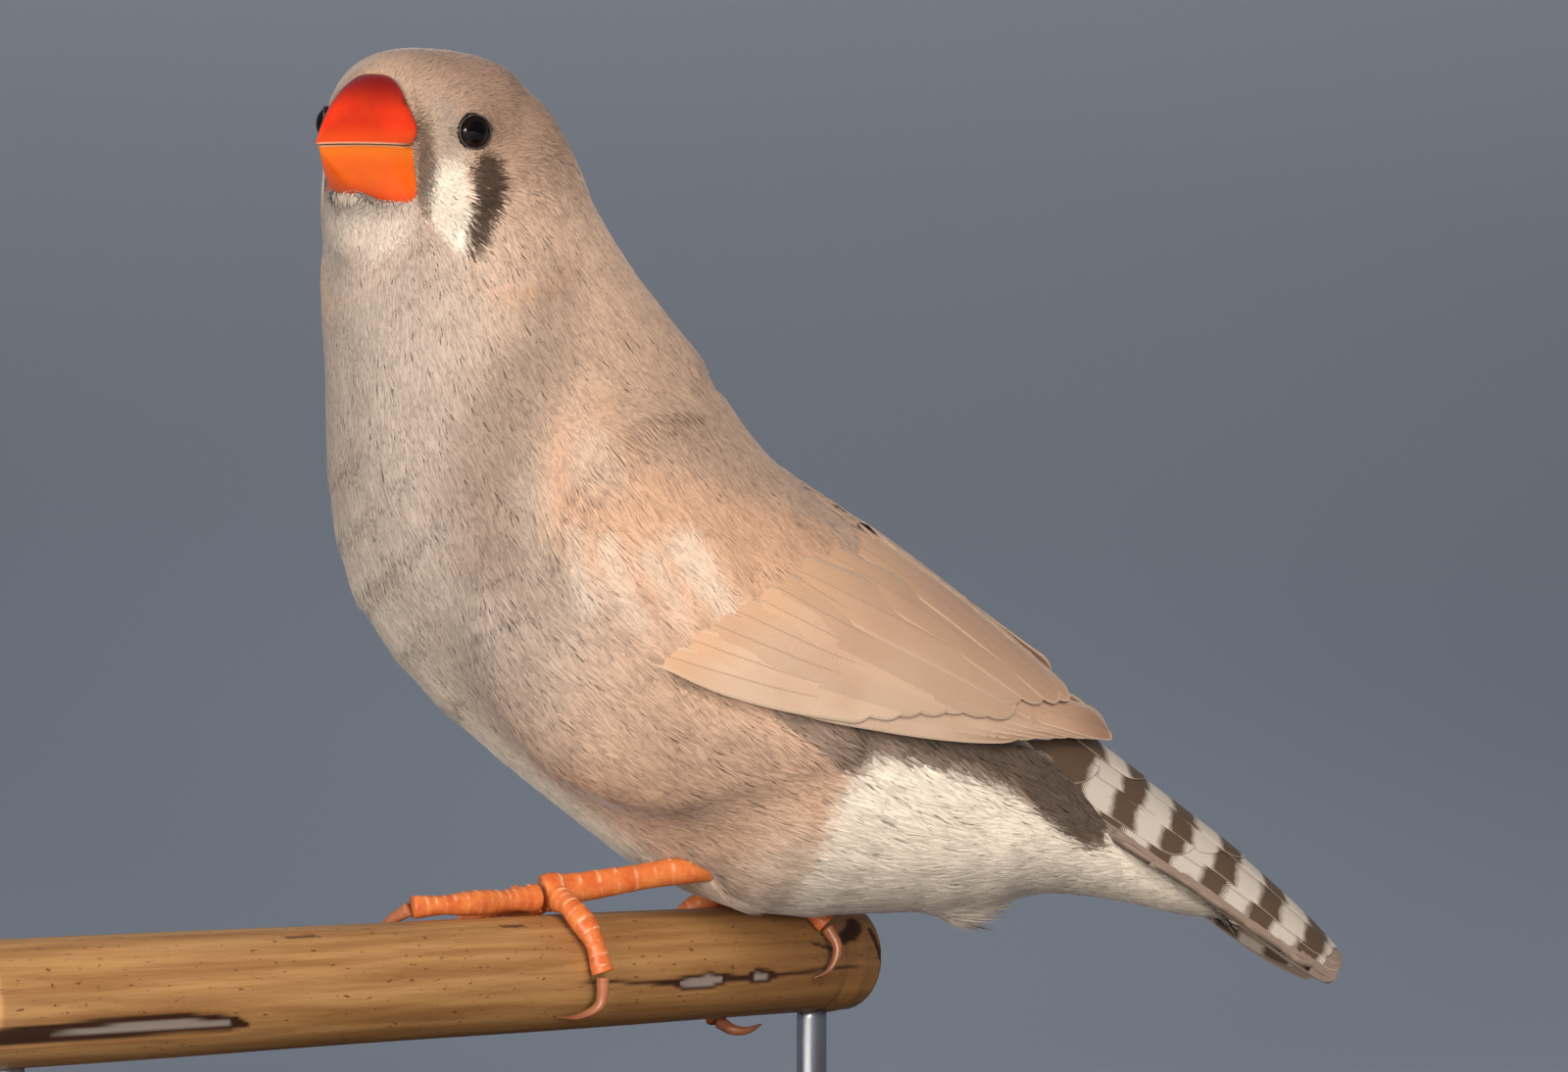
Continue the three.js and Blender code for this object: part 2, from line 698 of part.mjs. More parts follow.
function wingShield(side, grow = 0) {
  const face = wingFace(side);
  const across = Array.from({ length: WING.columns }, (_unused, i) => i / (WING.columns - 1));
  const grid = (out) =>
    Array.from({ length: WING.rings }, (_, k) => {
      const u = (WING.end * k) / (WING.rings - 1);
      return across.map((v) => face(u, v, out(u, v)));
    });
  const depth = (u) => THREE.MathUtils.lerp(WING.depth, WING.tipDepth, u ** WING.thinning);
  return slab(grid((u, v) => shieldRise(u, v) + grow), grid((u) => -depth(u) - grow));
}

// How far the wing's core stands off its face
function shieldRise(u, v) {
  const across = THREE.MathUtils.lerp(WING.edgeShare, 1 - WING.edgeShare, v);
  return WING.thickness * (1 - WING.tipThinning * u) * Math.sin(Math.PI * across);
}

// A steady stream of numbers from 0 to 1
function scatter(seed) {
  const [factor, prime] = [16807, 2 ** 31 - 1];
  let state = seed;
  return () => {
    state = (state * factor) % prime;
    return state / prime;
  };
}

// The vanes of one row over a face, for the rows described above
function vaneRow(face, breadth, row, random, mirror = 1) {
  const mix = ([from, to], t) => THREE.MathUtils.lerp(from, to, t);
  return Array.from({ length: row.count }, (_, i) => {
    const t = i / (row.count - 1);
    const place = ([[u0, v0], [u1, v1]]) => [mix([u0, u1], t), mirror * mix([v0, v1], t)];
    const [root, tip] = [place(row.root), place(row.tip)];
    tip[0] = Math.min(tip[0] + VANE.scatter.tipAlong * (random() - 0.5), 1);
    tip[1] += VANE.scatter.tipAcross * (random() - 0.5);
    const half = mix(row.half, t) * (1 + VANE.scatter.half * (random() - 0.5));
    const lift = mix(row.lift, t);
    return vane(face, breadth, { root, tip, half, lift, tuck: -VANE.tuck * mirror });
  });
}

function wing(side) {
  const face = wingFace(side);
  const over = (u, v, out) => face(u, v, shieldRise(u, THREE.MathUtils.clamp(v, 0, 1)) + out);
  const breadth = (u) => face(u, 0, 0).distanceTo(face(u, 1, 0));
  const random = scatter(side > 0 ? SEED.rightWing : SEED.leftWing);
  const vanes = WING_ROWS.flatMap((row) => vaneRow(over, breadth, row, random));
  return wasm.Manifold.union([wingShield(side), ...vanes]);
}

// A function that gives a point of the tail's upper face: u runs to the tip and v from the
// right edge, -1, over the ridge, 0, to the left edge, 1
function tailFace() {
  const ridge = new THREE.CatmullRomCurve3(TAIL.ridge.map(([x, z]) => vector(x, 0, z)));
  const edge = new THREE.CatmullRomCurve3(TAIL.edge.map(([x, z]) => vector(x, 0, z)));
  const half = new THREE.CatmullRomCurve3(TAIL.half.map((w, i) => vector(i, w, 0)));
  return (u, v, up) => {
    const top = ridge.getPoint(u);
    const low = edge.getPoint(u);
    const drop = 1 - Math.cos((Math.PI / 2) * Math.abs(v));
    const point = top.lerp(low, drop);
    return birdPoint(point.x, -Math.sin((Math.PI / 2) * v) * half.getPoint(u).y, point.z + up);
  };
}

function tail() {
  const face = tailFace();
  const thickness = smoothNumbers(TAIL.thickness, TAIL.rings);
  const across = Array.from({ length: TAIL.columns }, (_, i) => (2 * i) / (TAIL.columns - 1) - 1);
  const grid = (drop) =>
    thickness.map((deep, k) => {
      const u = (TAIL.end * k) / (TAIL.rings - 1);
      return across.map((v) => {
        const middle = Math.cos((Math.PI / 2) * v);
        return face(u, v, -drop * THREE.MathUtils.lerp(TAIL.edgeThickness, deep, middle));
      });
    });
  const reach = (u, v) => face(u, 0, 0).distanceTo(face(u, v, 0));
  const breadth = (u) => (reach(u, 1) + reach(u, -1)) / 2;
  const random = scatter(SEED.tail);
  const vanes = TAIL_ROWS.flatMap((row) =>
    [1, -1].flatMap((mirror) => vaneRow(face, breadth, row, random, mirror)),
  );
  return wasm.Manifold.union([slab(grid(0), grid(1)), ...vanes]);
}

// Assembly

// Keeps what lies on one side of a cut across the bird, GAP / 2 clear of it
function beyond(solid, cut, sign) {
  const normal = [sign * cut.normal[0], 0, sign * cut.normal[1]];
  const at = birdPoint(cut.at[0], 0, cut.at[1]);
  const offset = normal[0] * at.x + normal[2] * at.z;
  return solid.trimByPlane(normal, offset / Math.hypot(normal[0], normal[2]) + GAP / 2);
}

const body = bodyForm();
const grownBody = bodyForm(GAP);
const grownHead = headForm(GAP);
const legs = { left: LEFT_LEG, right: RIGHT_LEG };

const group = new THREE.Group();
const put = (name, solid, material) => group.add(meshOf(name, solid, material));

put("stand_base", standBase(), FINISH.baseWood);
put("stand_rod_front", rod(-1), FINISH.steel);
put("stand_rod_rear", rod(1), FINISH.steel);
put("perch", perch(), FINISH.cane);

let flesh = body.add(headForm()).subtract(perch(GAP));
for (const side of [1, -1]) {
  flesh = flesh.add(lids(side)).subtract(eye(side, GAP));
}
for (const up of [1, -1]) {
  flesh = flesh.subtract(mandible(up, GAP));
}

for (const [name, leg] of Object.entries(legs)) {
  flesh = flesh.subtract(shank(leg, GAP));
  put(`shank_${name}`, shank(leg).subtract(perch(GAP)), FINISH.leg);
  let taken = shank(leg, GAP).add(perch(GAP));
  for (const [toeName, places] of Object.entries(TOES[name])) {
    put(`toe_${toeName}_${name}`, toe(leg, places.toe).subtract(taken), FINISH.leg);
    taken = taken.add(toe(leg, places.toe, GAP));
    flesh = flesh.subtract(toe(leg, places.toe, GAP));
    put(`claw_${toeName}_${name}`, claw(leg, places.claw).subtract(taken), FINISH.claw);
  }
}

put("head", beyond(flesh, CUTS.headNeck, 1), FINISH.headFeather);
put("neck", beyond(beyond(flesh, CUTS.headNeck, -1), CUTS.neckTorso, 1), FINISH.throatFeather);
put("torso", beyond(beyond(flesh, CUTS.neckTorso, -1), CUTS.torsoRump, 1), FINISH.bodyFeather);
put("rump", beyond(flesh, CUTS.torsoRump, -1), FINISH.ventFeather);

for (const [name, side] of [["left", 1], ["right", -1]]) {
  put(`eye_${name}`, eye(side), FINISH.eye);
}
put("bill_upper", mandible(1).subtract(nostrils()), FINISH.upperBill);
put("bill_lower", mandible(-1), FINISH.lowerBill);

for (const [name, side] of [["left", -1], ["right", 1]]) {
  const clear = wing(side).subtract(grownBody).subtract(grownHead);
  const midline = BIRD.y + (side * GAP) / 2;
  put(`wing_${name}`, clear.trimByPlane([0, side, 0], side * midline), FINISH.wingFeather);
}

let tailClear = tail().subtract(grownBody);
for (const side of [-1, 1]) {
  tailClear = tailClear.subtract(wingShield(side, GAP));
}
put("tail", tailClear, FINISH.tailFeather);

export default group;
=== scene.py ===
"""Zebra finch hen gripping a cut length of cane, life size, finished for a museum's display.

Sizes are in millimetres in the part's own frame, and become metres where a mesh is made. The bird
faces -X, its left side is towards -Y, and a bird point is (x, side from its midplane, height over
the perch's axis). A head point is (ahead, left, up) from the point between the eyes.
"""

import logging
import math
from dataclasses import dataclass, field
from enum import Enum

import bpy
import numpy as np
from mathutils import Matrix, Vector
from mathutils.bvhtree import BVHTree


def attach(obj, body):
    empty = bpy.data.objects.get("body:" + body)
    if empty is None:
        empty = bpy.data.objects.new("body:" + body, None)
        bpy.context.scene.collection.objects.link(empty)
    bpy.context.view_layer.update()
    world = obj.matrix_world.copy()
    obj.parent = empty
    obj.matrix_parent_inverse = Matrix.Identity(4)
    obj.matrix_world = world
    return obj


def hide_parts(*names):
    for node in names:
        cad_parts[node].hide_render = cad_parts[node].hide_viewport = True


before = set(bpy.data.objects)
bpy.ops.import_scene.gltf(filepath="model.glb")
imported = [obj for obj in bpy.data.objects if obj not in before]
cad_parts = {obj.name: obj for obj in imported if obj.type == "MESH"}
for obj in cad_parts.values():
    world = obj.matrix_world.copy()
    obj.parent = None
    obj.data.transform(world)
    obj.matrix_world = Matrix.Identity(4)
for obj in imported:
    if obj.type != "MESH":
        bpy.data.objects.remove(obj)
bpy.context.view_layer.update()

LOG = logging.getLogger("finch")
MM = 0.001
MIDPLANE = 10.0
PERCH_AXIS = 20.5

Array = np.ndarray
Socket = bpy.types.NodeSocket
Tree = bpy.types.NodeTree
Material = bpy.types.Material
Piece = bpy.types.Object


def hex_colour(code: str) -> tuple[float, float, float, float]:
    """Linear colour of an sRGB code.

    Args:
        code: Six hexadecimal digits.

    Returns:
        Red, green, blue and an alpha of 1.
    """
    values = [int(code[i : i + 2], 16) / 255 for i in (0, 2, 4)]
    linear = [v / 12.92 if v <= 0.04045 else ((v + 0.055) / 1.055) ** 2.4 for v in values]
    return (*linear, 1.0)


def full_turn(count: int) -> Array:
    """Evenly spaced angles round a circle."""
    return np.linspace(0, 2 * math.pi, count, endpoint=False)


def smoothstep(values: Array, low: float, high: float) -> Array:
    """Eased share of the way from low to high."""
    t = np.clip((values - low) / (high - low), 0, 1)
    return t * t * (3 - 2 * t)


def unit(vectors: Array) -> Array:
    """Vectors scaled to length one."""
    return vectors / np.maximum(np.linalg.norm(vectors, axis=-1, keepdims=True), 1e-9)


def tangent(vectors: Array, normals: Array) -> Array:
    """Unit vectors laid into the surface that the normals stand on."""
    flat = vectors - (vectors * normals).sum(-1, keepdims=True) * normals
    return unit(flat)


def turned(vectors: Array, normals: Array, angles: Array) -> Array:
    """Vectors of a surface turned about its normals.

    Args:
        vectors: Unit vectors that lie in the surface.
        normals: The surface's normals.
        angles: Turn of each, in radians.

    Returns:
        The turned vectors.
    """
    cosine, sine = np.cos(angles)[:, None], np.sin(angles)[:, None]
    return vectors * cosine + np.cross(normals, vectors) * sine


def bird(points: Array) -> Array:
    """Part-frame points from bird points."""
    points = np.asarray(points, float)
    return points + np.array([0.0, MIDPLANE, PERCH_AXIS])


@dataclass(frozen=True)
class Curve:
    """A smooth centripetal curve through points, as the solids' own curves are."""

    points: Array

    def at(self, share: Array) -> Array:
        """Points at shares from 0 to 1, with every span taking an equal share.

        Args:
            share: Shares of the way along.

        Returns:
            One point for each share.
        """
        through = self.points
        last = len(through) - 1
        place = np.clip(np.asarray(share, float), 0, 1) * last
        span = np.minimum(place.astype(int), last - 1)
        t = (place - span)[:, None]
        one, two = through[span], through[span + 1]
        before = np.where((span > 0)[:, None], through[np.maximum(span - 1, 0)], 2 * through[0] - through[1])
        beyond = 2 * through[last] - through[last - 1]
        after = np.where((span + 2 <= last)[:, None], through[np.minimum(span + 2, last)], beyond)
        pairs = ((before, one), (one, two), (two, after))
        came, own, goes = (np.sqrt(np.linalg.norm(b - a, axis=1))[:, None] for a, b in pairs)
        leave = ((one - before) / came - (two - before) / (came + own) + (two - one) / own) * own
        reach = ((two - one) / own - (after - one) / (own + goes) + (after - two) / goes) * own
        square = -3 * one + 3 * two - 2 * leave - reach
        inside = one + leave * t + square * t**2 + (2 * one - 2 * two + leave + reach) * t**3
        over = (np.asarray(share, float) - np.clip(share, 0, 1))[:, None] * last
        return inside + np.where(over > 0, reach, leave) * over


@dataclass(frozen=True)
class HeadFrame:
    """Where the head stands on the body: its origin is midway between the eyes."""

    x: float = -23.3
    side: float = -3.9
    up: float = 66.65
    turn: float = math.radians(56)
    nod: float = math.radians(4)
    tilt: float = math.radians(-6)

    def matrix(self) -> Array:
        """Rotation from head directions to part directions."""
        spin = Matrix.Rotation(math.pi + self.turn, 3, "Z") @ Matrix.Rotation(self.nod, 3, "Y")
        return np.array(spin @ Matrix.Rotation(self.tilt, 3, "X"))

    def out(self, points: Array) -> Array:
        """Part-frame points from head points."""
        return np.asarray(points, float) @ self.matrix().T + bird([self.x, self.side, self.up])

    def inward(self, points: Array) -> Array:
        """Head points from part-frame points."""
        return (np.asarray(points, float) - bird([self.x, self.side, self.up])) @ self.matrix()


HEAD = HeadFrame()


@dataclass
class Form:
    """A mesh while it is being made: points in millimetres, faces, and what its points carry."""

    points: Array
    faces: list[Array] = field(default_factory=list)
    values: dict[str, Array] = field(default_factory=dict)
    patches: Array | None = None
    normals: Array | None = None

    def corners(self) -> tuple[Array, Array]:
        """All faces' corners in one row, and how many each face has.

        Returns:
            The corners, and one count for each face.
        """
        row = np.concatenate([f.ravel() for f in self.faces])
        counts = np.concatenate([np.full(len(f), f.shape[1]) for f in self.faces])
        return row, counts

    def outward(self) -> "Form":
        """The same form, with its faces turned outwards if they all faced inwards.

        Returns:
            The form itself.
        """
        volume = 0.0
        for face in self.faces:
            a = self.points[face[:, 0]]
            for k in range(1, face.shape[1] - 1):
                b, c = self.points[face[:, k]], self.points[face[:, k + 1]]
                volume += (np.cross(a, b) * c).sum()
        if volume < 0:
            self.faces = [face[:, ::-1] for face in self.faces]
        return self

    @staticmethod
    def joined(forms: list["Form"]) -> "Form":
        """Several forms as one.

        Args:
            forms: Forms that carry the same values.

        Returns:
            One form with all their points and faces.
        """
        starts = np.cumsum([0] + [len(f.points) for f in forms])
        faces = [face + start for form, start in zip(forms, starts) for face in form.faces]
        values = {k: np.concatenate([f.values[k] for f in forms]) for k in forms[0].values}
        return Form(np.concatenate([f.points for f in forms]), faces, values)

    def build(self, name: str, material: Material) -> Piece:
        """Makes the form into an object.

        Args:
            name: The object's name.
            material: The finish of all its faces.

        Returns:
            The object, linked to the scene.
        """
        mesh = bpy.data.meshes.new(name)
        row, counts = self.corners()
        mesh.vertices.add(len(self.points))
        mesh.vertices.foreach_set("co", (self.points * MM).astype(np.float32).ravel())
        mesh.loops.add(len(row))
        mesh.loops.foreach_set("vertex_index", row.astype(np.int32))
        mesh.polygons.add(len(counts))
        starts = np.concatenate([[0], np.cumsum(counts)[:-1]])
        mesh.polygons.foreach_set("loop_start", starts.astype(np.int32))
        mesh.update(calc_edges=True)
        mesh.validate()
        mesh.polygons.foreach_set("use_smooth", np.full(len(mesh.polygons), True))
        for key, value in self.values.items():
            attribute = mesh.attributes.new(key, "FLOAT", "POINT")
            attribute.data.foreach_set("value", value.astype(np.float32).ravel())
        if self.patches is not None:
            layer = mesh.uv_layers.new(name="OFBake")
            layer.uv.foreach_set("vector", self.patches[row].astype(np.float32).ravel())
        if self.normals is not None:
            mesh.normals_split_custom_set_from_vertices(self.normals.astype(np.float32))
        mesh.materials.append(material)
        made = bpy.data.objects.new(name, mesh)
        bpy.context.scene.collection.objects.link(made)
        return made


def grid_faces(rows: int, columns: int, around: bool = False) -> Array:
    """Four-cornered faces between rows of points.

    Args:
        rows: How many rows there are.
        columns: Points in each row.
        around: Whether each row closes on itself.

    Returns:
        One row of corners for each face.
    """
    spans = columns if around else columns - 1
    k, i = np.meshgrid(np.arange(rows - 1), np.arange(spans), indexing="ij")
    j = (i + 1) % columns
    a, b = k * columns + i, k * columns + j
    return np.stack([a, b, b + columns, a + columns], -1).reshape(-1, 4)


def tube(rings: Array) -> Form:
    """A closed form through rings of points, with a fan over each end.

    Args:
        rings: Points by ring, by place round the ring, by axis.

    Returns:
        The form.
    """
    count, sides = rings.shape[:2]
    points = np.concatenate([rings.reshape(-1, 3), rings[:1].mean(1), rings[-1:].mean(1)])
    i = np.arange(sides)
    j = (i + 1) % sides
    first, last = count * sides, (count - 1) * sides
    near = np.stack([np.full(sides, first), j, i], -1)
    far = np.stack([np.full(sides, first + 1), last + i, last + j], -1)
    return Form(points, [grid_faces(count, sides, around=True), near, far])


def slab(upper: Array, lower: Array) -> Form:
    """A thin closed form between two faces of points.

    Args:
        upper: Points of the upper face by row, by column, by axis.
        lower: Points of the lower face, laid out alike.

    Returns:
        The form.
    """
    rows, columns = upper.shape[:2]
    count = rows * columns
    top = grid_faces(rows, columns)
    rim = np.concatenate([
        np.arange(columns - 1),
        np.arange(rows - 1) * columns + columns - 1,
        (rows - 1) * columns + np.arange(columns - 1, 0, -1),
        np.arange(rows - 1, 0, -1) * columns,
    ])
    after = np.roll(rim, -1)
    sides = np.stack([rim, rim + count, after + count, after], -1)
    points = np.concatenate([upper.reshape(-1, 3), lower.reshape(-1, 3)])
    return Form(points, [top, top[:, ::-1] + count, sides])


class Graph:
    """Short calls that make and join the nodes of one shader tree."""

    def __init__(self, tree: Tree) -> None:
        """Takes the tree that the nodes go into."""
        self.tree = tree

    def node(self, kind: str, inputs: dict | None = None, **settings: object) -> bpy.types.Node:
        """Adds a node.

        Args:
            kind: The node's type after ShaderNode.
            inputs: Value or socket for each input, by name or number.
            settings: The node's own properties.

        Returns:
            The node.
        """
        made = self.tree.nodes.new("ShaderNode" + kind)
        for key, value in settings.items():
            setattr(made, key, value)
        for key, value in (inputs or {}).items():
            self.put(made.inputs[key], value)
        return made

    def put(self, socket: Socket, value: object) -> None:
        """Links a socket into another, or sets it to a plain value or a colour code.

        Args:
            socket: The socket to fill.
            value: A socket to link from, a plain value or a colour's code.
        """
        if isinstance(value, Socket):
            self.tree.links.new(value, socket)
        else:
            socket.default_value = hex_colour(value) if isinstance(value, str) else value

    def math(self, operation: str, one: object, two: object = 0.0, clamp: bool = False) -> Socket:
        """Result of one sum on two numbers."""
        return self.node("Math", {0: one, 1: two}, operation=operation, use_clamp=clamp).outputs[0]

    def mix(self, share: object, one: object, two: object, blend: str = "MIX") -> Socket:
        """A colour between two colours.

        Args:
            share: Share of the second colour, from 0 to 1.
            one: First colour.
            two: Second colour.
            blend: How they blend.

        Returns:
            The blended colour.
        """
        inputs = {"Factor": share, "A": one, "B": two}
        made = self.node("Mix", data_type="RGBA", blend_type=blend)
        for key, value in inputs.items():
            socket = next(s for s in made.inputs if s.name == key and s.enabled)
            self.put(socket, value)
        return next(s for s in made.outputs if s.enabled)

    def shaded(self, colour: object, shade: object) -> Socket:
        """A colour made darker or lighter by a number."""
        tone = self.node("CombineColor", {i: shade for i in range(3)}).outputs[0]
        return self.mix(1.0, colour, tone, "MULTIPLY")

    def ease(self, value: object, low: float, high: float, start: float = 0.0, end: float = 1.0) -> Socket:
        """A number eased from start to end as a value runs from low to high."""
        inputs = {"Value": value, "From Min": low, "From Max": high, "To Min": start, "To Max": end}
        return self.node("MapRange", inputs, interpolation_type="SMOOTHSTEP").outputs[0]

    def noise(self, vector: object, scale: float, detail: float = 2.0, rough: float = 0.5) -> Socket:
        """Soft noise about 0.5 at a scale in features to the metre."""
        inputs = {"Vector": vector, "Scale": scale, "Detail": detail, "Roughness": rough}
        return self.node("TexNoise", inputs).outputs["Fac"]

    def carried(self, name: str) -> Socket:
        """A number that the mesh's points carry."""
        return self.node("Attribute", attribute_name=name).outputs["Fac"]

    def place(self, stretch: tuple[float, float, float] = (1, 1, 1)) -> Socket:
        """The object's own coordinates, stretched along its axes."""
        source = self.node("TexCoord").outputs["Object"]
        return self.node("Mapping", {"Vector": source, "Scale": stretch}).outputs[0]

    def bump(self, height: object, strength: float, distance: float) -> Socket:
        """A normal that stands for small heights."""
        inputs = {"Height": height, "Strength": strength, "Distance": distance}
        return self.node("Bump", inputs).outputs[0]


class Effect:
    """Shader node groups that several finishes share, each built once."""

    made: dict[str, Tree] = {}

    @classmethod
    def start(
        cls, name: str, inputs: dict[str, tuple[str, object]], outputs: dict[str, str],
    ) -> tuple[Graph, dict, dict]:
        """Opens a new group.

        Args:
            name: The group's name.
            inputs: Kind and usual value of each input.
            outputs: Kind of each output.

        Returns:
            The group's graph, its inputs by name and its outputs by name.
        """
        tree = bpy.data.node_groups.new(name, "ShaderNodeTree")
        for key, (kind, usual) in inputs.items():
            socket = tree.interface.new_socket(key, in_out="INPUT", socket_type="NodeSocket" + kind)
            socket.default_value = usual
        for key, kind in outputs.items():
            tree.interface.new_socket(key, in_out="OUTPUT", socket_type="NodeSocket" + kind)
        cls.made[name] = tree
        entry, leave = tree.nodes.new("NodeGroupInput"), tree.nodes.new("NodeGroupOutput")
        return Graph(tree), dict(entry.outputs.items()), dict(leave.inputs.items())

    @classmethod
    def mottle(cls) -> Tree:
        """Two colours parted by soft noise: for wood, horn and skin alike.

        Returns:
            The group.
        """
        if "mottle" not in cls.made:
            inputs = {
                "Vector": ("Vector", (0, 0, 0)), "Scale": ("Float", 100.0), "Contrast": ("Float", 1.0),
                "One": ("Color", (0, 0, 0, 1)), "Two": ("Color", (1, 1, 1, 1)),
            }
            graph, entry, leave = cls.start("mottle", inputs, {"Colour": "Color", "Mask": "Float"})
            fine = graph.noise(entry["Vector"], 1.0, 4.0, 0.6)
            graph.put(graph.tree.nodes[-1].inputs["Scale"], entry["Scale"])
            centred = graph.math("SUBTRACT", fine, 0.5)
            spread = graph.math("MULTIPLY", centred, graph.math("MULTIPLY", entry["Contrast"], 4.0))
            mask = graph.math("ADD", spread, 0.5, clamp=True)
            graph.put(leave["Colour"], graph.mix(mask, entry["One"], entry["Two"]))
            graph.put(leave["Mask"], mask)
        return cls.made["mottle"]

    @classmethod
    def barbs(cls) -> Tree:
        """Fine slanting lines of a feather's barbs, from its place across and along the vane.

        Returns:
            The group.
        """
        if "barbs" not in cls.made:
            inputs = {
                "Across": ("Float", 0.0), "Along": ("Float", 0.0), "Spacing": ("Float", 0.25),
                "Slant": ("Float", 1.2), "Wander": ("Float", 0.4), "Vector": ("Vector", (0, 0, 0)),
            }
            graph, entry, leave = cls.start("barbs", inputs, {"Line": "Float"})
            aside = graph.math("ABSOLUTE", entry["Across"])
            reach = graph.math("SUBTRACT", entry["Along"], graph.math("MULTIPLY", aside, entry["Slant"]))
            drift = graph.math("MULTIPLY", graph.noise(entry["Vector"], 420.0, 2.0), entry["Wander"])
            phase = graph.math("DIVIDE", graph.math("ADD", reach, drift), entry["Spacing"])
            wave = graph.math("SINE", graph.math("MULTIPLY", phase, 2 * math.pi))
            graph.put(leave["Line"], graph.math("MULTIPLY_ADD", wave, 0.5))
            graph.tree.nodes[-1].inputs[2].default_value = 0.5
        return cls.made["barbs"]

    @staticmethod
    def use(graph: Graph, tree: Tree, inputs: dict[str, object]) -> dict[str, Socket]:
        """Places a group in a finish.

        Args:
            graph: The finish's own graph.
            tree: The group.
            inputs: Value or socket for each of the group's inputs.

        Returns:
            The group's outputs by name.
        """
        made = graph.node("Group", node_tree=tree)
        for key, value in inputs.items():
            graph.put(made.inputs[key], value)
        return dict(made.outputs.items())


@dataclass(frozen=True)
class Finish:
    """What all finishes share: a name, and the plain values of their shader."""

    name: str
    roughness: float = 0.6
    specular: float = 0.5
    coat: float = 0.0
    sheen: float = 0.0
    depth: float = 0.0

    def open(self) -> tuple[Material, Graph, bpy.types.Node]:
        """Starts the material.

        Returns:
            The material, its graph and its shader.
        """
        material = bpy.data.materials.new(self.name)
        material.use_nodes = True
        graph = Graph(material.node_tree)
        shader = material.node_tree.nodes["Principled BSDF"]
        values = {
            "Roughness": self.roughness, "Specular IOR Level": self.specular, "Coat Weight": self.coat,
            "Coat Roughness": 0.08, "Sheen Weight": self.sheen, "Sheen Roughness": 0.4,
        }
        if self.depth:
            values["Subsurface Weight"] = 0.35
            values["Subsurface Radius"] = (1.0, 0.35, 0.15)
            values["Subsurface Scale"] = self.depth * MM
        for key, value in values.items():
            shader.inputs[key].default_value = value
        return material, graph, shader


class Space(Enum):
    """What the places of a marking are measured on."""

    BODY = "body"
    HEAD = "head"
    WING = "wing"


class Mark(Enum):
    """The plumage's markings, and its painted shade and painted highlights, which every feather carries as
    shares from 0 to 1.
    """

    GREY = "mark_grey"
    BROWN = "mark_brown"
    WARM = "mark_warm"
    PALE = "mark_pale"
    # A dusky tone, used mostly for painted shade.
    DUSK_AND_SHADE = "mark_dusk_and_shade"
    WHITE = "mark_white"
    BLACK = "mark_black"


@dataclass(frozen=True)
class Plumage(Finish):
    """The finish of the small feathers and of the skin under them, with painted shade at each strand's root
    and sides and a painted highlight along its ridge and tip.
    """

    fawn: str = "c2a188"
    colours: tuple[tuple[Mark, str], ...] = (
        (Mark.GREY, "aa998b"),
        (Mark.BROWN, "775a49"),
        (Mark.WARM, "cc9c79"),
        # Cream for the pale belly and vent, and for painted highlights on the wing.
        (Mark.PALE, "e6d5c0"),
        # Grey-brown for painted shade, and for the darker forehead.
        (Mark.DUSK_AND_SHADE, "867161"),
        (Mark.WHITE, "ddceba"),
        (Mark.BLACK, "33261c"),
    )
    # Tone of the painted shade at a strand's root.
    shadow: float = 0.52

    def build(self) -> Material:
        """Makes the material.

        Returns:
            The material.
        """
        material, graph, shader = self.open()
        colour = self.fawn
        for mark, code in self.colours:
            colour = graph.mix(graph.carried(mark.value), colour, code)
        patchy = graph.noise(graph.place(), 260.0, 3.0)
        colour = graph.mix(graph.ease(patchy, 0.35, 0.7, 0.0, 0.12), colour, (0.09, 0.055, 0.035, 1))
        single = graph.ease(graph.carried("chance"), 0.0, 1.0, 0.8, 1.12)
        # Painted shade and highlight: each strand is darkest at its root, darker at its sides, and lighter
        # than its colour along its ridge and tip.
        height = graph.ease(graph.carried("strand"), 0.0, 0.7, self.shadow, 1.1)
        graph.put(shader.inputs["Base Color"], graph.shaded(colour, graph.math("MULTIPLY", single, height)))
        return material


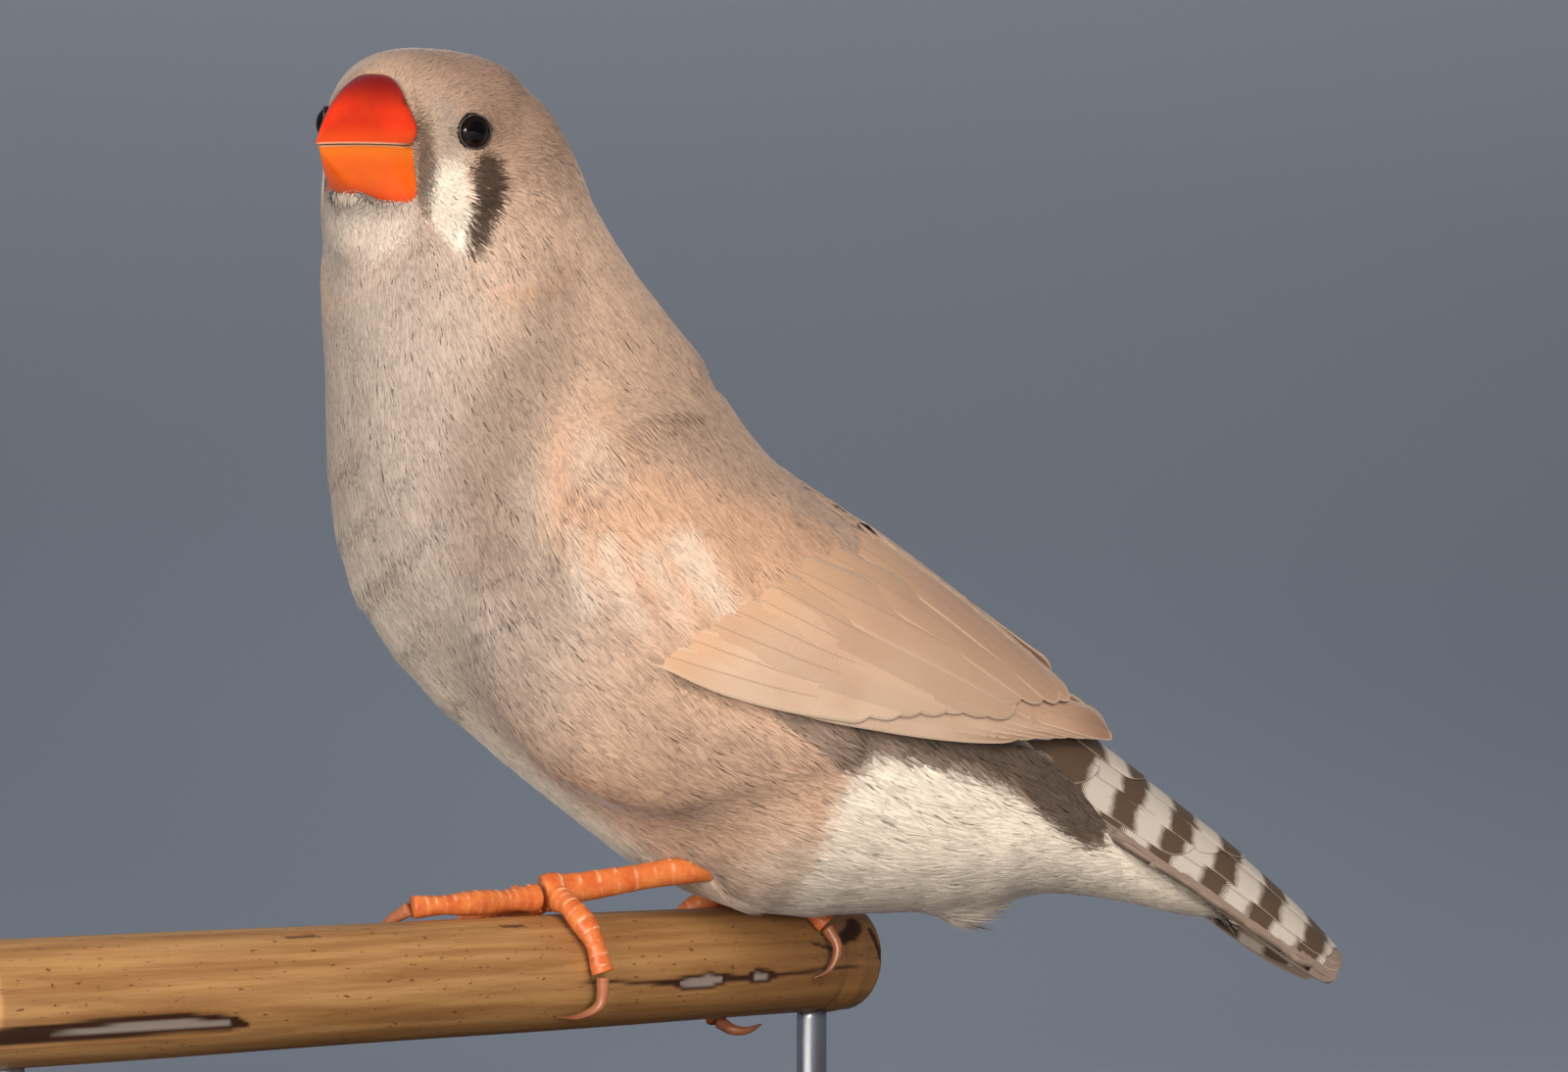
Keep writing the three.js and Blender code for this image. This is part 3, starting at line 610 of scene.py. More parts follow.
@dataclass(frozen=True)
class Lie:
    """How far along and around the bird a point lies, and which way its feathers point.

    Each line crosses the bird from its back to its belly, as ([x, height], [x, height], half width).
    """

    lines: tuple = (
        ((-15.6, 72.0), (-29.8, 58.0), 8.0),
        ((-8.7, 64.6), (-29.2, 46.5), 12.0),
        ((-3.8, 55.7), (-27.0, 30.0), 14.8),
        ((3.9, 45.0), (-12.5, 14.4), 15.6),
        ((13.6, 33.8), (5.0, 4.1), 13.9),
        ((26.6, 21.6), (22.6, 4.2), 9.4),
        ((37.8, 11.4), (34.5, 5.0), 4.5),
        ((45.6, 3.5), (45.3, 3.0), 1.2),
    )
    bill_root: tuple = (3.2, 0.0, -0.6)
    face_reach: tuple = (9.0, 19.0)
    eye_radius: float = 2.0
    eye_reach: float = 8.0
    step: float = 12.0

    def frame_lines(self) -> tuple[Array, Array, Array, Array]:
        """Each line's back point, unit way to the belly, length, and unit way to the tail.

        Returns:
            Back points, ways down, lengths and ways ahead.
        """
        back = np.array([line[0] for line in self.lines])
        belly = np.array([line[1] for line in self.lines])
        down = belly - back
        length = np.linalg.norm(down, axis=1)
        down = down / length[:, None]
        return back, down, length, np.stack([-down[:, 1], down[:, 0]], -1)

    def along(self, points: Array) -> Array:
        """Place along the bird, in lines passed: about 0 at the crown and 7 at the tail coverts.

        Args:
            points: Points in the part's frame.

        Returns:
            One number for each point.
        """
        back, _, _, ahead = self.frame_lines()
        flat = points[:, [0, 2]] - np.array([0, PERCH_AXIS])
        gone = np.einsum("nkj,kj->nk", flat[:, None] - back[None], ahead)
        place = gone[:, 0] / self.step
        for k in range(len(self.lines) - 1):
            past = (gone[:, k] >= 0) & (gone[:, k + 1] < 0)
            share = gone[:, k] / np.where(past, gone[:, k] - gone[:, k + 1], 1)
            place = np.where(past, k + share, place)
        return np.where(gone[:, -1] >= 0, len(self.lines) - 1 + gone[:, -1] / self.step, place)

    def around(self, points: Array) -> Array:
        """Angle round the bird from its back: positive on its right side, pi under the belly.

        Args:
            points: Points in the part's frame.

        Returns:
            One angle for each point, in radians.
        """
        back, down, length, _ = self.frame_lines()
        place = np.clip(self.along(points), 0, len(self.lines) - 1.001)
        k = place.astype(int)
        share = place - k
        flat = points[:, [0, 2]] - np.array([0, PERCH_AXIS])
        low = ((flat - back[k]) * down[k]).sum(1) / length[k]
        low_next = ((flat - back[k + 1]) * down[k + 1]).sum(1) / length[k + 1]
        level = low * (1 - share) + low_next * share
        half = np.interp(place, np.arange(len(self.lines)), [line[2] for line in self.lines])
        return np.arctan2((points[:, 1] - MIDPLANE) / half, 1 - 2 * level)

    def way(self, points: Array, normals: Array) -> Array:
        """Unit vectors that the feathers lie along.

        Args:
            points: Roots, in the part's frame.
            normals: The skin's normals there.

        Returns:
            One vector for each root, in the surface.
        """
        back, down, length, ahead = self.frame_lines()
        belly = back + down * length[:, None]
        along_back, along_belly = (unit(np.gradient(edge, axis=0)) for edge in (back, belly))
        flat = points[:, [0, 2]] - np.array([0, PERCH_AXIS])
        gone = np.einsum("nkj,kj->nk", flat[:, None] - back[None], ahead)
        near = 1 / (np.abs(gone) + 1.5) ** 2
        low = np.clip(np.einsum("nkj,kj->nk", flat[:, None] - back[None], down) / length, 0, 1)[..., None]
        ways = along_back[None] * (1 - low) + along_belly[None] * low
        mean = unit((ways * near[..., None]).sum(1))
        body = np.stack([mean[:, 0], np.zeros(len(mean)), mean[:, 1]], -1)
        root = HEAD.out(np.array([self.bill_root]))[0]
        away = points - root
        share = smoothstep(np.linalg.norm(away, axis=1), *self.face_reach)[:, None]
        lie = tangent(unit(away) * (1 - share) + body * share, normals)
        for side in (1, -1):
            centre = EYES.centre(side)
            out = points - centre
            reach = np.linalg.norm(out, axis=1, keepdims=True)
            round_eye = unit(out)
            turn = np.clip((self.eye_radius / np.maximum(reach, self.eye_radius)) ** 2, 0, 1)
            back = lie - 2 * (lie * round_eye).sum(1, keepdims=True) * round_eye
            lie = lie + turn * back * (reach < self.eye_reach)
        return tangent(lie, normals)

    def unwrap(self, points: Array) -> Array:
        """Place of each point on the skin laid flat, from 0 to 1 both ways.

        Args:
            points: Points in the part's frame.

        Returns:
            Two numbers for each point.
        """
        across = (self.around(points) / (2 * math.pi) + 0.5) * 0.94 + 0.02
        down = (self.along(points) + 1.2) / (len(self.lines) + 1.4)
        return np.stack([across, np.clip(down, 0.01, 0.99)], -1)


@dataclass(frozen=True)
class Eyes:
    """The two eyeballs and the bare lids round them."""

    ahead: float = -0.2
    up: float = 0.0
    out: float = 6.05
    radius: float = 1.55
    forward: float = math.radians(30)

    def centre(self, side: int) -> Array:
        """The middle of one eyeball: side is 1 for the left and -1 for the right."""
        return HEAD.out(np.array([[self.ahead, side * self.out, self.up]]))[0]

    def axis(self, side: int) -> Array:
        """The way that one eye looks."""
        look = np.array([math.sin(self.forward), side * math.cos(self.forward), 0.0])
        return HEAD.matrix() @ look


EYES = Eyes()


@dataclass(frozen=True)
class Patch:
    """One marking: a path of points with a radius at each, and how softly its edge fades."""

    mark: Mark
    path: tuple
    radius: tuple
    soft: float
    strength: float = 1.0
    space: Space = Space.BODY

    def share(self, points: Array) -> Array:
        """How strongly the marking shows at each point, from 0 to 1.

        Args:
            points: Points in the part's frame.

        Returns:
            One share for each point.
        """
        best = np.zeros(len(points))
        path = np.array(self.path, float)
        for mirror in (1, -1):
            if self.space is Space.WING:
                stations = WingFace(-mirror).at(*path.T)
            else:
                places = path * np.array([1, mirror, 1])
                stations = HEAD.out(places) if self.space is Space.HEAD else bird(places)
            for k in range(max(len(stations) - 1, 1)):
                one, two = stations[k], stations[min(k + 1, len(stations) - 1)]
                span = two - one
                t = np.clip((points - one) @ span / max(span @ span, 1e-9), 0, 1)
                gap = np.linalg.norm(points - (one + t[:, None] * span), axis=1)
                radius = self.radius[k] + t * (self.radius[min(k + 1, len(self.radius) - 1)] - self.radius[k])
                best = np.maximum(best, 1 - smoothstep(gap - radius, -self.soft / 2, self.soft / 2))
        return best * self.strength


@dataclass(frozen=True)
class Markings:
    """All of the hen's markings, from places on the body and on the head, with painted shade and painted
    highlights among them.
    """

    coverts: Patch = Patch(
        Mark.WARM,
        ((0.06, 0.42, 0.3), (0.11, 0.64, 0.3), (0.22, 0.75, 0.3), (0.36, 0.62, 0.3), (0.5, 0.5, 0.3)),
        (2.0, 3.4, 4.6, 6.2, 6.5), 3.4, 0.62, Space.WING,
    )
    patches: tuple[Patch, ...] = (
        Patch(Mark.GREY, ((6.5, 0, -6.5), (4.5, 3.5, -9), (3, 0, -12)), (3.6, 3.4, 4.0), 3.5, 0.9,
              Space.HEAD),
        Patch(Mark.WARM, ((5.5, 11.8, -12.3), (3.9, 14.0, -12.5), (1.0, 15.8, -11.3), (-0.6, 15.9, -10.0)),
              (0.4, 0.8, 0.8, 0.4), 1.2, 0.65, Space.HEAD),
        # Painted shadow under the cheek's fold.
        Patch(Mark.DUSK_AND_SHADE, ((6.2, 13.2, -15.6), (4.4, 14.8, -15.2), (2.4, 16.2, -13.8)), (1.0, 1.4, 0.8), 3.4,
              0.22, Space.HEAD),
        # Painted highlights on the front of the wing and on the rounded middle of each greater covert.
        Patch(Mark.PALE, ((0.05, 0.56, 0.3), (0.17, 0.66, 0.3)), (1.5, 2.0), 3.4, 0.32, Space.WING),
        Patch(Mark.PALE, ((0.2, 0.88, 0.3), (0.27, 1.0, 0.3)), (0.9, 0.6), 2.2, 0.34, Space.WING),
        Patch(Mark.PALE, ((0.25, 0.82, 0.3), (0.33, 0.93, 0.3)), (1.0, 0.7), 2.2, 0.38, Space.WING),
        Patch(Mark.PALE, ((0.3, 0.75, 0.3), (0.38, 0.85, 0.3)), (1.0, 0.7), 2.2, 0.38, Space.WING),
        Patch(Mark.PALE, ((0.33, 0.65, 0.3), (0.42, 0.76, 0.3)), (1.6, 1.0), 2.6, 0.5, Space.WING),
        # Painted shade down the side of the neck and along the front of the wing.
        Patch(Mark.DUSK_AND_SHADE, ((-11.5, -12.5, 54), (-12.5, -14.2, 49), (-15.5, -14.5, 44), (-17.5, -14.2, 38),
              (-17, -14.4, 32), (-12, -14.5, 27)), (2.0, 3.0, 3.4, 3.5, 3.0, 1.5), 6.0, 0.76),
        # Painted shade on the flank under the wing's lower edge.
        Patch(Mark.DUSK_AND_SHADE, ((-14.0, -13.5, 25.0), (-9.0, -13.8, 21.5), (-3.5, -14.0, 19.0),
              (2.0, -13.8, 17.5)), (3.0, 3.6, 3.6, 3.0), 5.0, 0.4),
        # Painted shade along the shoulder's ridge, which faces the key lamp.
        Patch(Mark.DUSK_AND_SHADE, ((-9.0, -13.2, 50.0), (-10.0, -14.4, 46.2), (-10.0, -16.8, 42.0),
              (-12.2, -17.6, 38.5)), (1.2, 2.0, 2.0, 1.2), 5.0, 0.34),
        # Painted shadow just under the lower edge of the wing's coverts.
        Patch(Mark.DUSK_AND_SHADE, ((-14.3, -14.8, 31.0), (-12.6, -14.6, 27.4), (-8.1, -15.2, 24.4),
              (-2.3, -16.5, 22.6), (3.0, -16.7, 21.4)), (0.5, 0.6, 0.8, 0.8, 0.6), 1.8, 0.5),
        Patch(Mark.DUSK_AND_SHADE, ((3.5, -15.2, 21.4), (7.2, -14.7, 20.0), (9.6, -14.0, 18.8), (11.8, -13.2, 17.2)),
              (0.5, 1.5, 1.9, 1.9), 0.9, 0.95),
        Patch(Mark.DUSK_AND_SHADE, ((12.5, -13.4, 18.4), (18, -11.6, 17.8), (25, -9.0, 16.6), (29.5, -6.9, 14.2),
              (32.4, -6.2, 11.4)), (1.6, 1.9, 2.5, 2.9, 2.2), 1.0, 0.98),
        Patch(Mark.BLACK, ((6, -14.9, 20.8), (11.3, -13.6, 19.2), (15, -12.4, 18.6)), (0.4, 1.0, 1.2), 1.6,
              0.4),
        Patch(Mark.BLACK, ((13.5, -12.9, 18.8), (17.1, -11.8, 18.2), (22.5, -9.8, 17.5), (27, -7.6, 16.2),
              (29.8, -6.8, 13.8), (32.2, -6.2, 11.6)), (0.7, 1.3, 1.7, 2.5, 2.9, 2.1), 1.2, 0.68),
        Patch(Mark.BLACK, ((4.2, 3.4, 2.6), (4.0, 4.0, 0.8), (3.6, 4.2, -1.4), (3.4, 4.3, -3.4),
              (3.5, 4.4, -5.0), (4.2, 5.3, -6.8)), (0.4, 0.65, 0.85, 0.95, 0.9, 0.4), 1.0, 0.78,
              Space.HEAD),
        Patch(Mark.GREY, ((2.6, 5.4, 1.8), (2.0, 6.2, -0.4), (2.2, 5.6, -2.4)), (1.2, 1.3, 1.0), 2.0, 0.75,
              Space.HEAD),
        Patch(Mark.WHITE, ((0.6, 6.4, -1.5), (1.8, 5.9, -3.3)), (0.3, 0.8), 1.6, 0.55, Space.HEAD),
        Patch(Mark.WHITE, ((1.9, 5.6, -3.8), (3.1, 6.3, -4.9), (4.8, 7.7, -7.1), (5.4, 8.9, -8.8),
              (5.7, 9.4, -10.2)), (1.5, 1.9, 1.45, 0.7, 0.15), 0.8, 0.95, Space.HEAD),
        Patch(Mark.BLACK, ((0.9, 7.2, -1.5), (0.2, 8.0, -1.6), (0.9, 8.5, -2.6), (1.9, 9.3, -3.8),
              (3.0, 9.9, -5.3), (4.1, 10.0, -6.9), (5.3, 10.0, -9.0), (5.9, 9.9, -10.7)), (0.4, 0.9, 1.2,
              1.25, 1.25, 1.05, 0.65, 0.15), 0.8, 0.95, Space.HEAD),
        Patch(Mark.PALE, ((6.4, -1.0, -6.6), (5.0, 1.6, -8.2), (3.6, 3.4, -9.6)), (2.0, 2.2, 1.2), 3.2,
              0.36, Space.HEAD),
        Patch(Mark.DUSK_AND_SHADE, ((5.5, 0.5, 5.2), (3.8, 3.4, 3.8), (2.6, 5.2, 1.2)), (1.6, 1.6, 1.2), 3.0, 0.34,
              Space.HEAD),
    )

    def soft(self, points: Array) -> Array:
        """How far each point is among the fine soft coverts of a wing."""
        return np.clip(self.coverts.share(points) / self.coverts.strength, 0, 1)

    def shares(self, points: Array, chance: Array) -> dict[str, Array]:
        """How strongly every marking shows at each root.

        Args:
            points: Roots, in the part's frame.
            chance: A random offset for each root, three numbers in millimetres.

        Returns:
            Shares from 0 to 1 by marking.
        """
        ragged = points + chance
        along, around = LIE.along(ragged), np.abs(LIE.around(ragged))
        x, low = ragged[:, 0], ragged[:, 2] - PERCH_AXIS
        shares = {mark: np.zeros(len(points)) for mark in Mark}
        front = smoothstep(around, 1.0, 2.1) * (1 - smoothstep(along, 2.4, 3.3)) * smoothstep(along, 0.2, 0.8)
        shares[Mark.GREY] = 0.95 * front
        crown = (1 - smoothstep(along, 0.5, 1.5)) * (1 - smoothstep(around, 0.8, 1.5))
        shares[Mark.BROWN] = 0.7 * crown
        edge = x - (6.5 + 0.43 * (low - 4))
        vent = smoothstep(edge, -1.6, 1.4) * smoothstep(along, 4.0, 4.2)
        belly = smoothstep(around, 2.62, 2.95) * smoothstep(along, 2.3, 2.9)
        breast = 0.45 * smoothstep(around, 2.45, 3.0) * smoothstep(along, 1.4, 2.2)
        thigh = 0.5 * smoothstep(edge, -7.5, -1.0) * smoothstep(around, 1.9, 2.5)
        thigh = thigh * smoothstep(along, 3.2, 3.8)
        shares[Mark.PALE] = np.maximum.reduce([belly, breast, thigh, vent])
        saddle = smoothstep(along, 1.6, 2.8) * (1 - smoothstep(around, 0.9, 1.7))
        saddle = saddle * (1 - smoothstep(along, 3.6, 4.4))
        side = smoothstep(along, 2.6, 3.4) * smoothstep(around, 1.0, 1.5) * (1 - smoothstep(around, 2.3, 2.8))
        shares[Mark.WARM] = 0.3 * side
        shares[Mark.BROWN] = np.maximum(shares[Mark.BROWN], 0.3 * saddle)
        for patch in (self.coverts, *self.patches):
            shares[patch.mark] = np.maximum(shares[patch.mark], patch.share(ragged))
        return {mark.value: share for mark, share in shares.items()}


LIE = Lie()
MARKINGS = Markings()


@dataclass
class Skin:
    """One skin over the flesh, from the crown to the tail coverts."""

    nodes: tuple[str, ...] = ("torso", "rump", "neck", "head")
    swell: float = 0.22
    voxel: float = 0.5
    rounds: int = 10
    fill_rounds: int = 340
    fill_pace: float = 0.7
    fill_fade: tuple[float, float] = (11, 16)
    depth_fade: tuple[float, float] = (6, 20)
    face_middle: tuple = (3.0, 0.0, 0.0)
    thigh: float = 2.1
    mantle: tuple = ((0.36, 3.4), (0.41, 3.3), (0.46, 3.2), (0.51, 3.0), (0.56, 2.8))
    mantle_depth: float = 0.5
    back_way: tuple = (0.628, 0.0, 0.778)
    face_depth: float = 0.3
    body_depth: float = 0.45
    shoulder_rise: float = 0.4
    shoulder_depth: float = 3.4
    hem_rise: float = 0.55
    front_sink: float = 2.6
    front_fade: tuple[float, float] = (0.0, 0.2)
    low_sink: float = 0.2
    back_sink: float = 1.0
    corner_sink: float = 1.2
    crown: tuple = ((-0.25, 1.0, 0.1), 5.05)
    crown_rise: tuple = ((-4.8, 6.6, 4.0), 0.7, 4.0)
    vent: tuple = ((21.8, 0.0, 6.2), 3.1)
    chin: tuple = (
        (2.2, 4.2, -6.0, -9.0), (3.6, 3.5, -5.9, -8.6), (5.0, 3.0, -5.5, -8.0), (6.4, 2.6, -5.0, -7.3),
        (7.8, 2.2, -4.6, -6.8), (8.8, 1.5, -4.4, -6.2),
    )
    flank_height: float = 1.25
    flank: tuple = ((0.0, 4.2), (0.14, 6.4), (0.3, 7.2), (0.42, 6.4), (0.52, 4.6), (0.62, 2.6))

    def build(self, material: Material) -> Piece:
        """Joins the flesh into one smooth skin and sinks it by the coat's depth.

        Args:
            material: The skin's finish.

        Returns:
            The skin.
        """
        forms = [self.swollen(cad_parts[name]) for name in self.nodes]
        forms += [self.shoulder(side) for side in (-1, 1)]
        forms += [self.fairing(side) for side in (-1, 1)] + [self.throat()]
        (ahead, left, up), radius = self.crown
        forms += [self.ball(HEAD.out(np.array([[ahead, side * left, up]]))[0], radius) for side in (1, -1)]
        forms.append(self.ball(bird([self.vent[0]])[0], self.vent[1]))
        forms += [self.ball(bird([leg.heel])[0], self.thigh) for leg in LEGS]
        for u, radius in self.mantle:
            edge = WingFace(-1).at(np.array([u]), np.array([0.0]), np.array([0.0]))[0]
            edge = edge * [1, 0, 1] + [0, MIDPLANE, 0]
            forms.append(self.ball(edge - np.array(self.back_way) * (radius + self.mantle_depth), radius))
        made = Form.joined(forms).build("skin", material)
        remesh = made.modifiers.new("remesh", "REMESH")
        remesh.mode, remesh.voxel_size = "VOXEL", self.voxel * MM
        smooth = made.modifiers.new("smooth", "SMOOTH")
        smooth.factor, smooth.iterations = 0.6, self.rounds
        shape = made.evaluated_get(bpy.context.evaluated_depsgraph_get())
        mesh = bpy.data.meshes.new_from_object(shape)
        old = made.data
        made.modifiers.clear()
        made.data = mesh
        bpy.data.meshes.remove(old)
        mesh.name = "skin"
        points, normals = self.read(mesh)
        near = np.linalg.norm(points - HEAD.out(np.array([self.face_middle])), axis=1)
        points = self.filled(mesh, points, normals, smoothstep(near, *self.fill_fade))
        (ahead, left, up), rise, reach = self.crown_rise
        spots = [HEAD.out(np.array([[ahead, side * left, up]])) for side in (1, -1)]
        gaps = [np.linalg.norm(points - spot, axis=1) for spot in spots]
        points = points + normals * (rise * np.exp(-((np.minimum(*gaps) / reach) ** 2)))[:, None]
        depth = self.face_depth + (self.body_depth - self.face_depth) * smoothstep(near, *self.depth_fade)
        points = points - normals * (self.swell + depth)[:, None]
        mesh.vertices.foreach_set("co", (points * MM).astype(np.float32).ravel())
        mesh.update()
        self.carry(mesh, points)
        mesh.polygons.foreach_set("use_smooth", np.full(len(mesh.polygons), True))
        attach(made, "root")
        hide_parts(*self.nodes)
        return made

    def filled(self, mesh: bpy.types.Mesh, points: Array, normals: Array, share: Array) -> Array:
        """Fills the hollows where two forms meet and leaves what is round as it is.

        Args:
            mesh: The skin.
            points: Its points.
            normals: Its normals.
            share: How far each point may take part, from 0 to 1.

        Returns:
            The points after filling.
        """
        ends = np.zeros(len(mesh.edges) * 2, np.int32)
        mesh.edges.foreach_get("vertices", ends)
        one, two = ends.reshape(-1, 2).T
        count = len(points)
        degree = np.bincount(ends, minlength=count)
        for _ in range(self.fill_rounds):
            pulls = [
                np.bincount(one, points[two, i], count) + np.bincount(two, points[one, i], count)
                for i in range(3)
            ]
            step = ((np.stack(pulls, -1) / degree[:, None] - points) * normals).sum(1)
            points = points + normals * (np.maximum(step, 0) * self.fill_pace * share)[:, None]
        LOG.info("skin filled by up to %.2f mm", float(np.abs(points - self.read(mesh)[0]).max()))
        return points

    def shoulder(self, side: int) -> Form:
        """The front of one wing, which the small feathers of the back and the breast run over.

        Args:
            side: 1 for the right wing and -1 for the left one.

        Returns:
            The form.
        """
        face = WingFace(side)
        across = np.linspace(-0.02, 1.02, 28)[None]
        reach = face.hem(across)
        u = np.linspace(-0.02, 1, 60)[:, None] * reach
        v = across + 0 * u
        share = np.clip(u / reach, 0, 1)
        front = 1 - smoothstep(u, *self.front_fade)
        low, back = smoothstep(v, 0.88, 1.02), 1 - smoothstep(v, -0.02, 0.16)
        corner = (1 - smoothstep(v, 0.0, 0.4)) * (1 - smoothstep(u, 0.05, 0.32))
        sunk = self.front_sink * front + self.low_sink * low
        sunk = sunk + self.back_sink * back + self.corner_sink * corner
        top = self.shoulder_rise * (1 - share**3) + self.hem_rise - sunk
        return slab(face.at(u, v, top), face.at(u, v, -self.shoulder_depth)).outward()

    def fairing(self, side: int) -> Form:
        """A full ridge under one wing's lower edge, where the flank's feathers meet it.

        Args:
            side: 1 for the right wing and -1 for the left one.

        Returns:
            The form.
        """
        t = np.linspace(0, 1, 40)
        u, radius = (np.interp(t, np.linspace(0, 1, len(self.flank)), row) for row in zip(*self.flank))
        edge = WingFace(side).at(u, 1 + 0 * u, -0.2)
        middle = edge + np.stack([0 * u, -side * radius, -0.55 * radius], -1)
        ahead = unit(np.gradient(middle, axis=0))
        across = unit(np.cross(ahead, [0.0, 0.0, 1.0]))
        over = np.cross(across, ahead)
        turn = full_turn(20)[None, :, None]
        ring = np.cos(turn) * across[:, None] + np.sin(turn) * over[:, None]
        return tube(middle[:, None] + ring * radius[:, None, None] * [1, 1, self.flank_height]).outward()

    def ball(self, centre: Array, radius: float) -> Form:
        """A round fullness under the skin.

        Args:
            centre: Its middle, in the part's frame.
            radius: Its radius, in millimetres.

        Returns:
            The form.
        """
        turn = full_turn(40)[None]
        fall = np.linspace(0.02, math.pi - 0.02, 24)[:, None]
        rings = np.stack([
            np.sin(fall) * np.cos(turn), np.sin(fall) * np.sin(turn), np.cos(fall) + 0 * turn,
        ], -1)
        return tube(centre + radius * rings).outward()

    def throat(self) -> Form:
        """The chin's feathered pad, which covers the root of the bill from below.

        Returns:
            The form.
        """
        turn = full_turn(24)
        rings = []
        for ahead, half, top, low in self.chin:
            middle, deep = (top + low) / 2, (top - low) / 2
            rings.append(np.stack([ahead + 0 * turn, half * np.cos(turn), middle + deep * np.sin(turn)], -1))
        rings = np.array(rings)
        return tube(HEAD.out(rings.reshape(-1, 3)).reshape(rings.shape)).outward()

    def swollen(self, node: Piece) -> Form:
        """A flesh node's own faces, swollen a little so that neighbours meet.

        Args:
            node: The solid.

        Returns:
            Its faces as a form.
        """
        points, normals = self.read(node.data)
        corners = np.zeros(len(node.data.loops), np.int32)
        node.data.loops.foreach_get("vertex_index", corners)
        rounded, index = np.unique(np.round(points, 3), axis=0, return_inverse=True)
        summed = np.zeros_like(rounded)
        np.add.at(summed, index.ravel(), normals)
        return Form(rounded + unit(summed) * self.swell, [index.ravel()[corners].reshape(-1, 3)])

    @staticmethod
    def read(mesh: bpy.types.Mesh) -> tuple[Array, Array]:
        """A mesh's points in millimetres and its normals.

        Args:
            mesh: Any mesh.

        Returns:
            Points and normals, one row each.
        """
        points = np.zeros(len(mesh.vertices) * 3, np.float32)
        mesh.vertices.foreach_get("co", points)
        normals = np.zeros(len(mesh.vertices) * 3, np.float32)
        mesh.vertex_normals.foreach_get("vector", normals)
        return points.reshape(-1, 3) / MM, normals.reshape(-1, 3)

    @staticmethod
    def carry(mesh: bpy.types.Mesh, points: Array) -> None:
        """Gives the skin its markings and its place on the flat skin.

        Args:
            mesh: The skin.
            points: Its points, in millimetres.
        """
        values = MARKINGS.shares(points, np.zeros_like(points))
        # Painted light: the skin takes a light place on the strands' painted shade ramp, near a strand's
        # ridge, so the shaded gaps between strands show light.
        values["strand"] = np.full(len(points), 0.6)
        values["chance"] = np.full(len(points), 0.5)
        for key, value in values.items():
            attribute = mesh.attributes.new(key, "FLOAT", "POINT")
            attribute.data.foreach_set("value", value.astype(np.float32))
        corners = np.zeros(len(mesh.loops), np.int32)
        mesh.loops.foreach_get("vertex_index", corners)
        flat = LIE.unwrap(points)[corners]
        starts = np.zeros(len(mesh.polygons), np.int32)
        mesh.polygons.foreach_get("loop_start", starts)
        counts = np.zeros(len(mesh.polygons), np.int32)
        mesh.polygons.foreach_get("loop_total", counts)
        first = np.repeat(flat[starts, 0], counts)
        wrapped = flat[:, 0] + np.round(first - flat[:, 0])
        flat[:, 0] = np.clip(wrapped, 0, 1)
        layer = mesh.uv_layers.new(name="OFBake")
        layer.uv.foreach_set("vector", flat.astype(np.float32).ravel())


@dataclass(frozen=True)
class Strands:
    """Thin lance-shaped strands of many small feathers, made all at once from arrays."""

    sink: float = 0.1
    ridge: float = 0.3
    widest: float = 0.38
    patch: float = 0.0015
    lean: float = 0.45
    tip_lean: float = 0.12
    corners: int = 5
    # Places of a strand's root, sides, ridge and tip on the painted shade ramp: low is painted shade, high is
    # painted highlight.
    painted_shade_tones: tuple = (0.0, 0.22, 0.22, 0.7, 0.95)
    even_tone: float = 0.36

    def form(self, roots: Array, normals: Array, ways: Array, sizes: Array, flats: Array,
             values: dict[str, Array]) -> Form:
        """Strands as one form.

        Args:
            roots: Where each strand leaves the skin.
            normals: The skin's normals there.
            ways: The ways the strands lie.
            sizes: Length, width, lift and softness of each, by column.
            flats: Each root's place on the flat skin.
            values: What each strand carries.

        Returns:
            The form, with five points and six faces to a strand.
        """
        length, width, lift, soft = (sizes[:, i : i + 1] for i in range(4))
        aside = unit(np.cross(ways, normals))
        middle = roots + ways * length * self.widest + normals * lift * 0.8
        left, right = middle - aside * width / 2, middle + aside * width / 2
        top = middle + normals * width * self.ridge
        tip = roots + ways * length + normals * lift
        points = np.stack([roots - normals * self.sink, left, right, top, tip], 1).reshape(-1, 3)
        base = np.arange(len(roots))[:, None] * self.corners
        tris = np.array([[4, 1, 3], [4, 3, 2], [4, 2, 1], [0, 3, 1], [0, 2, 3], [0, 1, 2]])
        faces = [(base[:, None] + tris[None]).reshape(-1, 3)]
        carried = {key: np.repeat(value, self.corners) for key, value in values.items()}
        # Painted shade and highlight along each strand; the soft coverts' strands take flatter tones.
        strand = np.array([self.painted_shade_tones]) * (1 - 0.6 * soft) + self.even_tone * soft
        carried["strand"] = strand.ravel()
        offsets = self.patch * np.array([[0, -1], [-1, 0], [1, 0], [0, 0.2], [0, 1]])
        patches = (flats[:, None] + offsets[None]).reshape(-1, 2)
        across, ahead = aside * self.lean, ways * self.tip_lean
        shading = [normals, normals - across, normals + across, normals, normals + ahead]
        smooth = unit(np.stack(shading, 1).reshape(-1, 3))
        return Form(points, faces, carried, np.clip(patches, 0, 1), smooth)


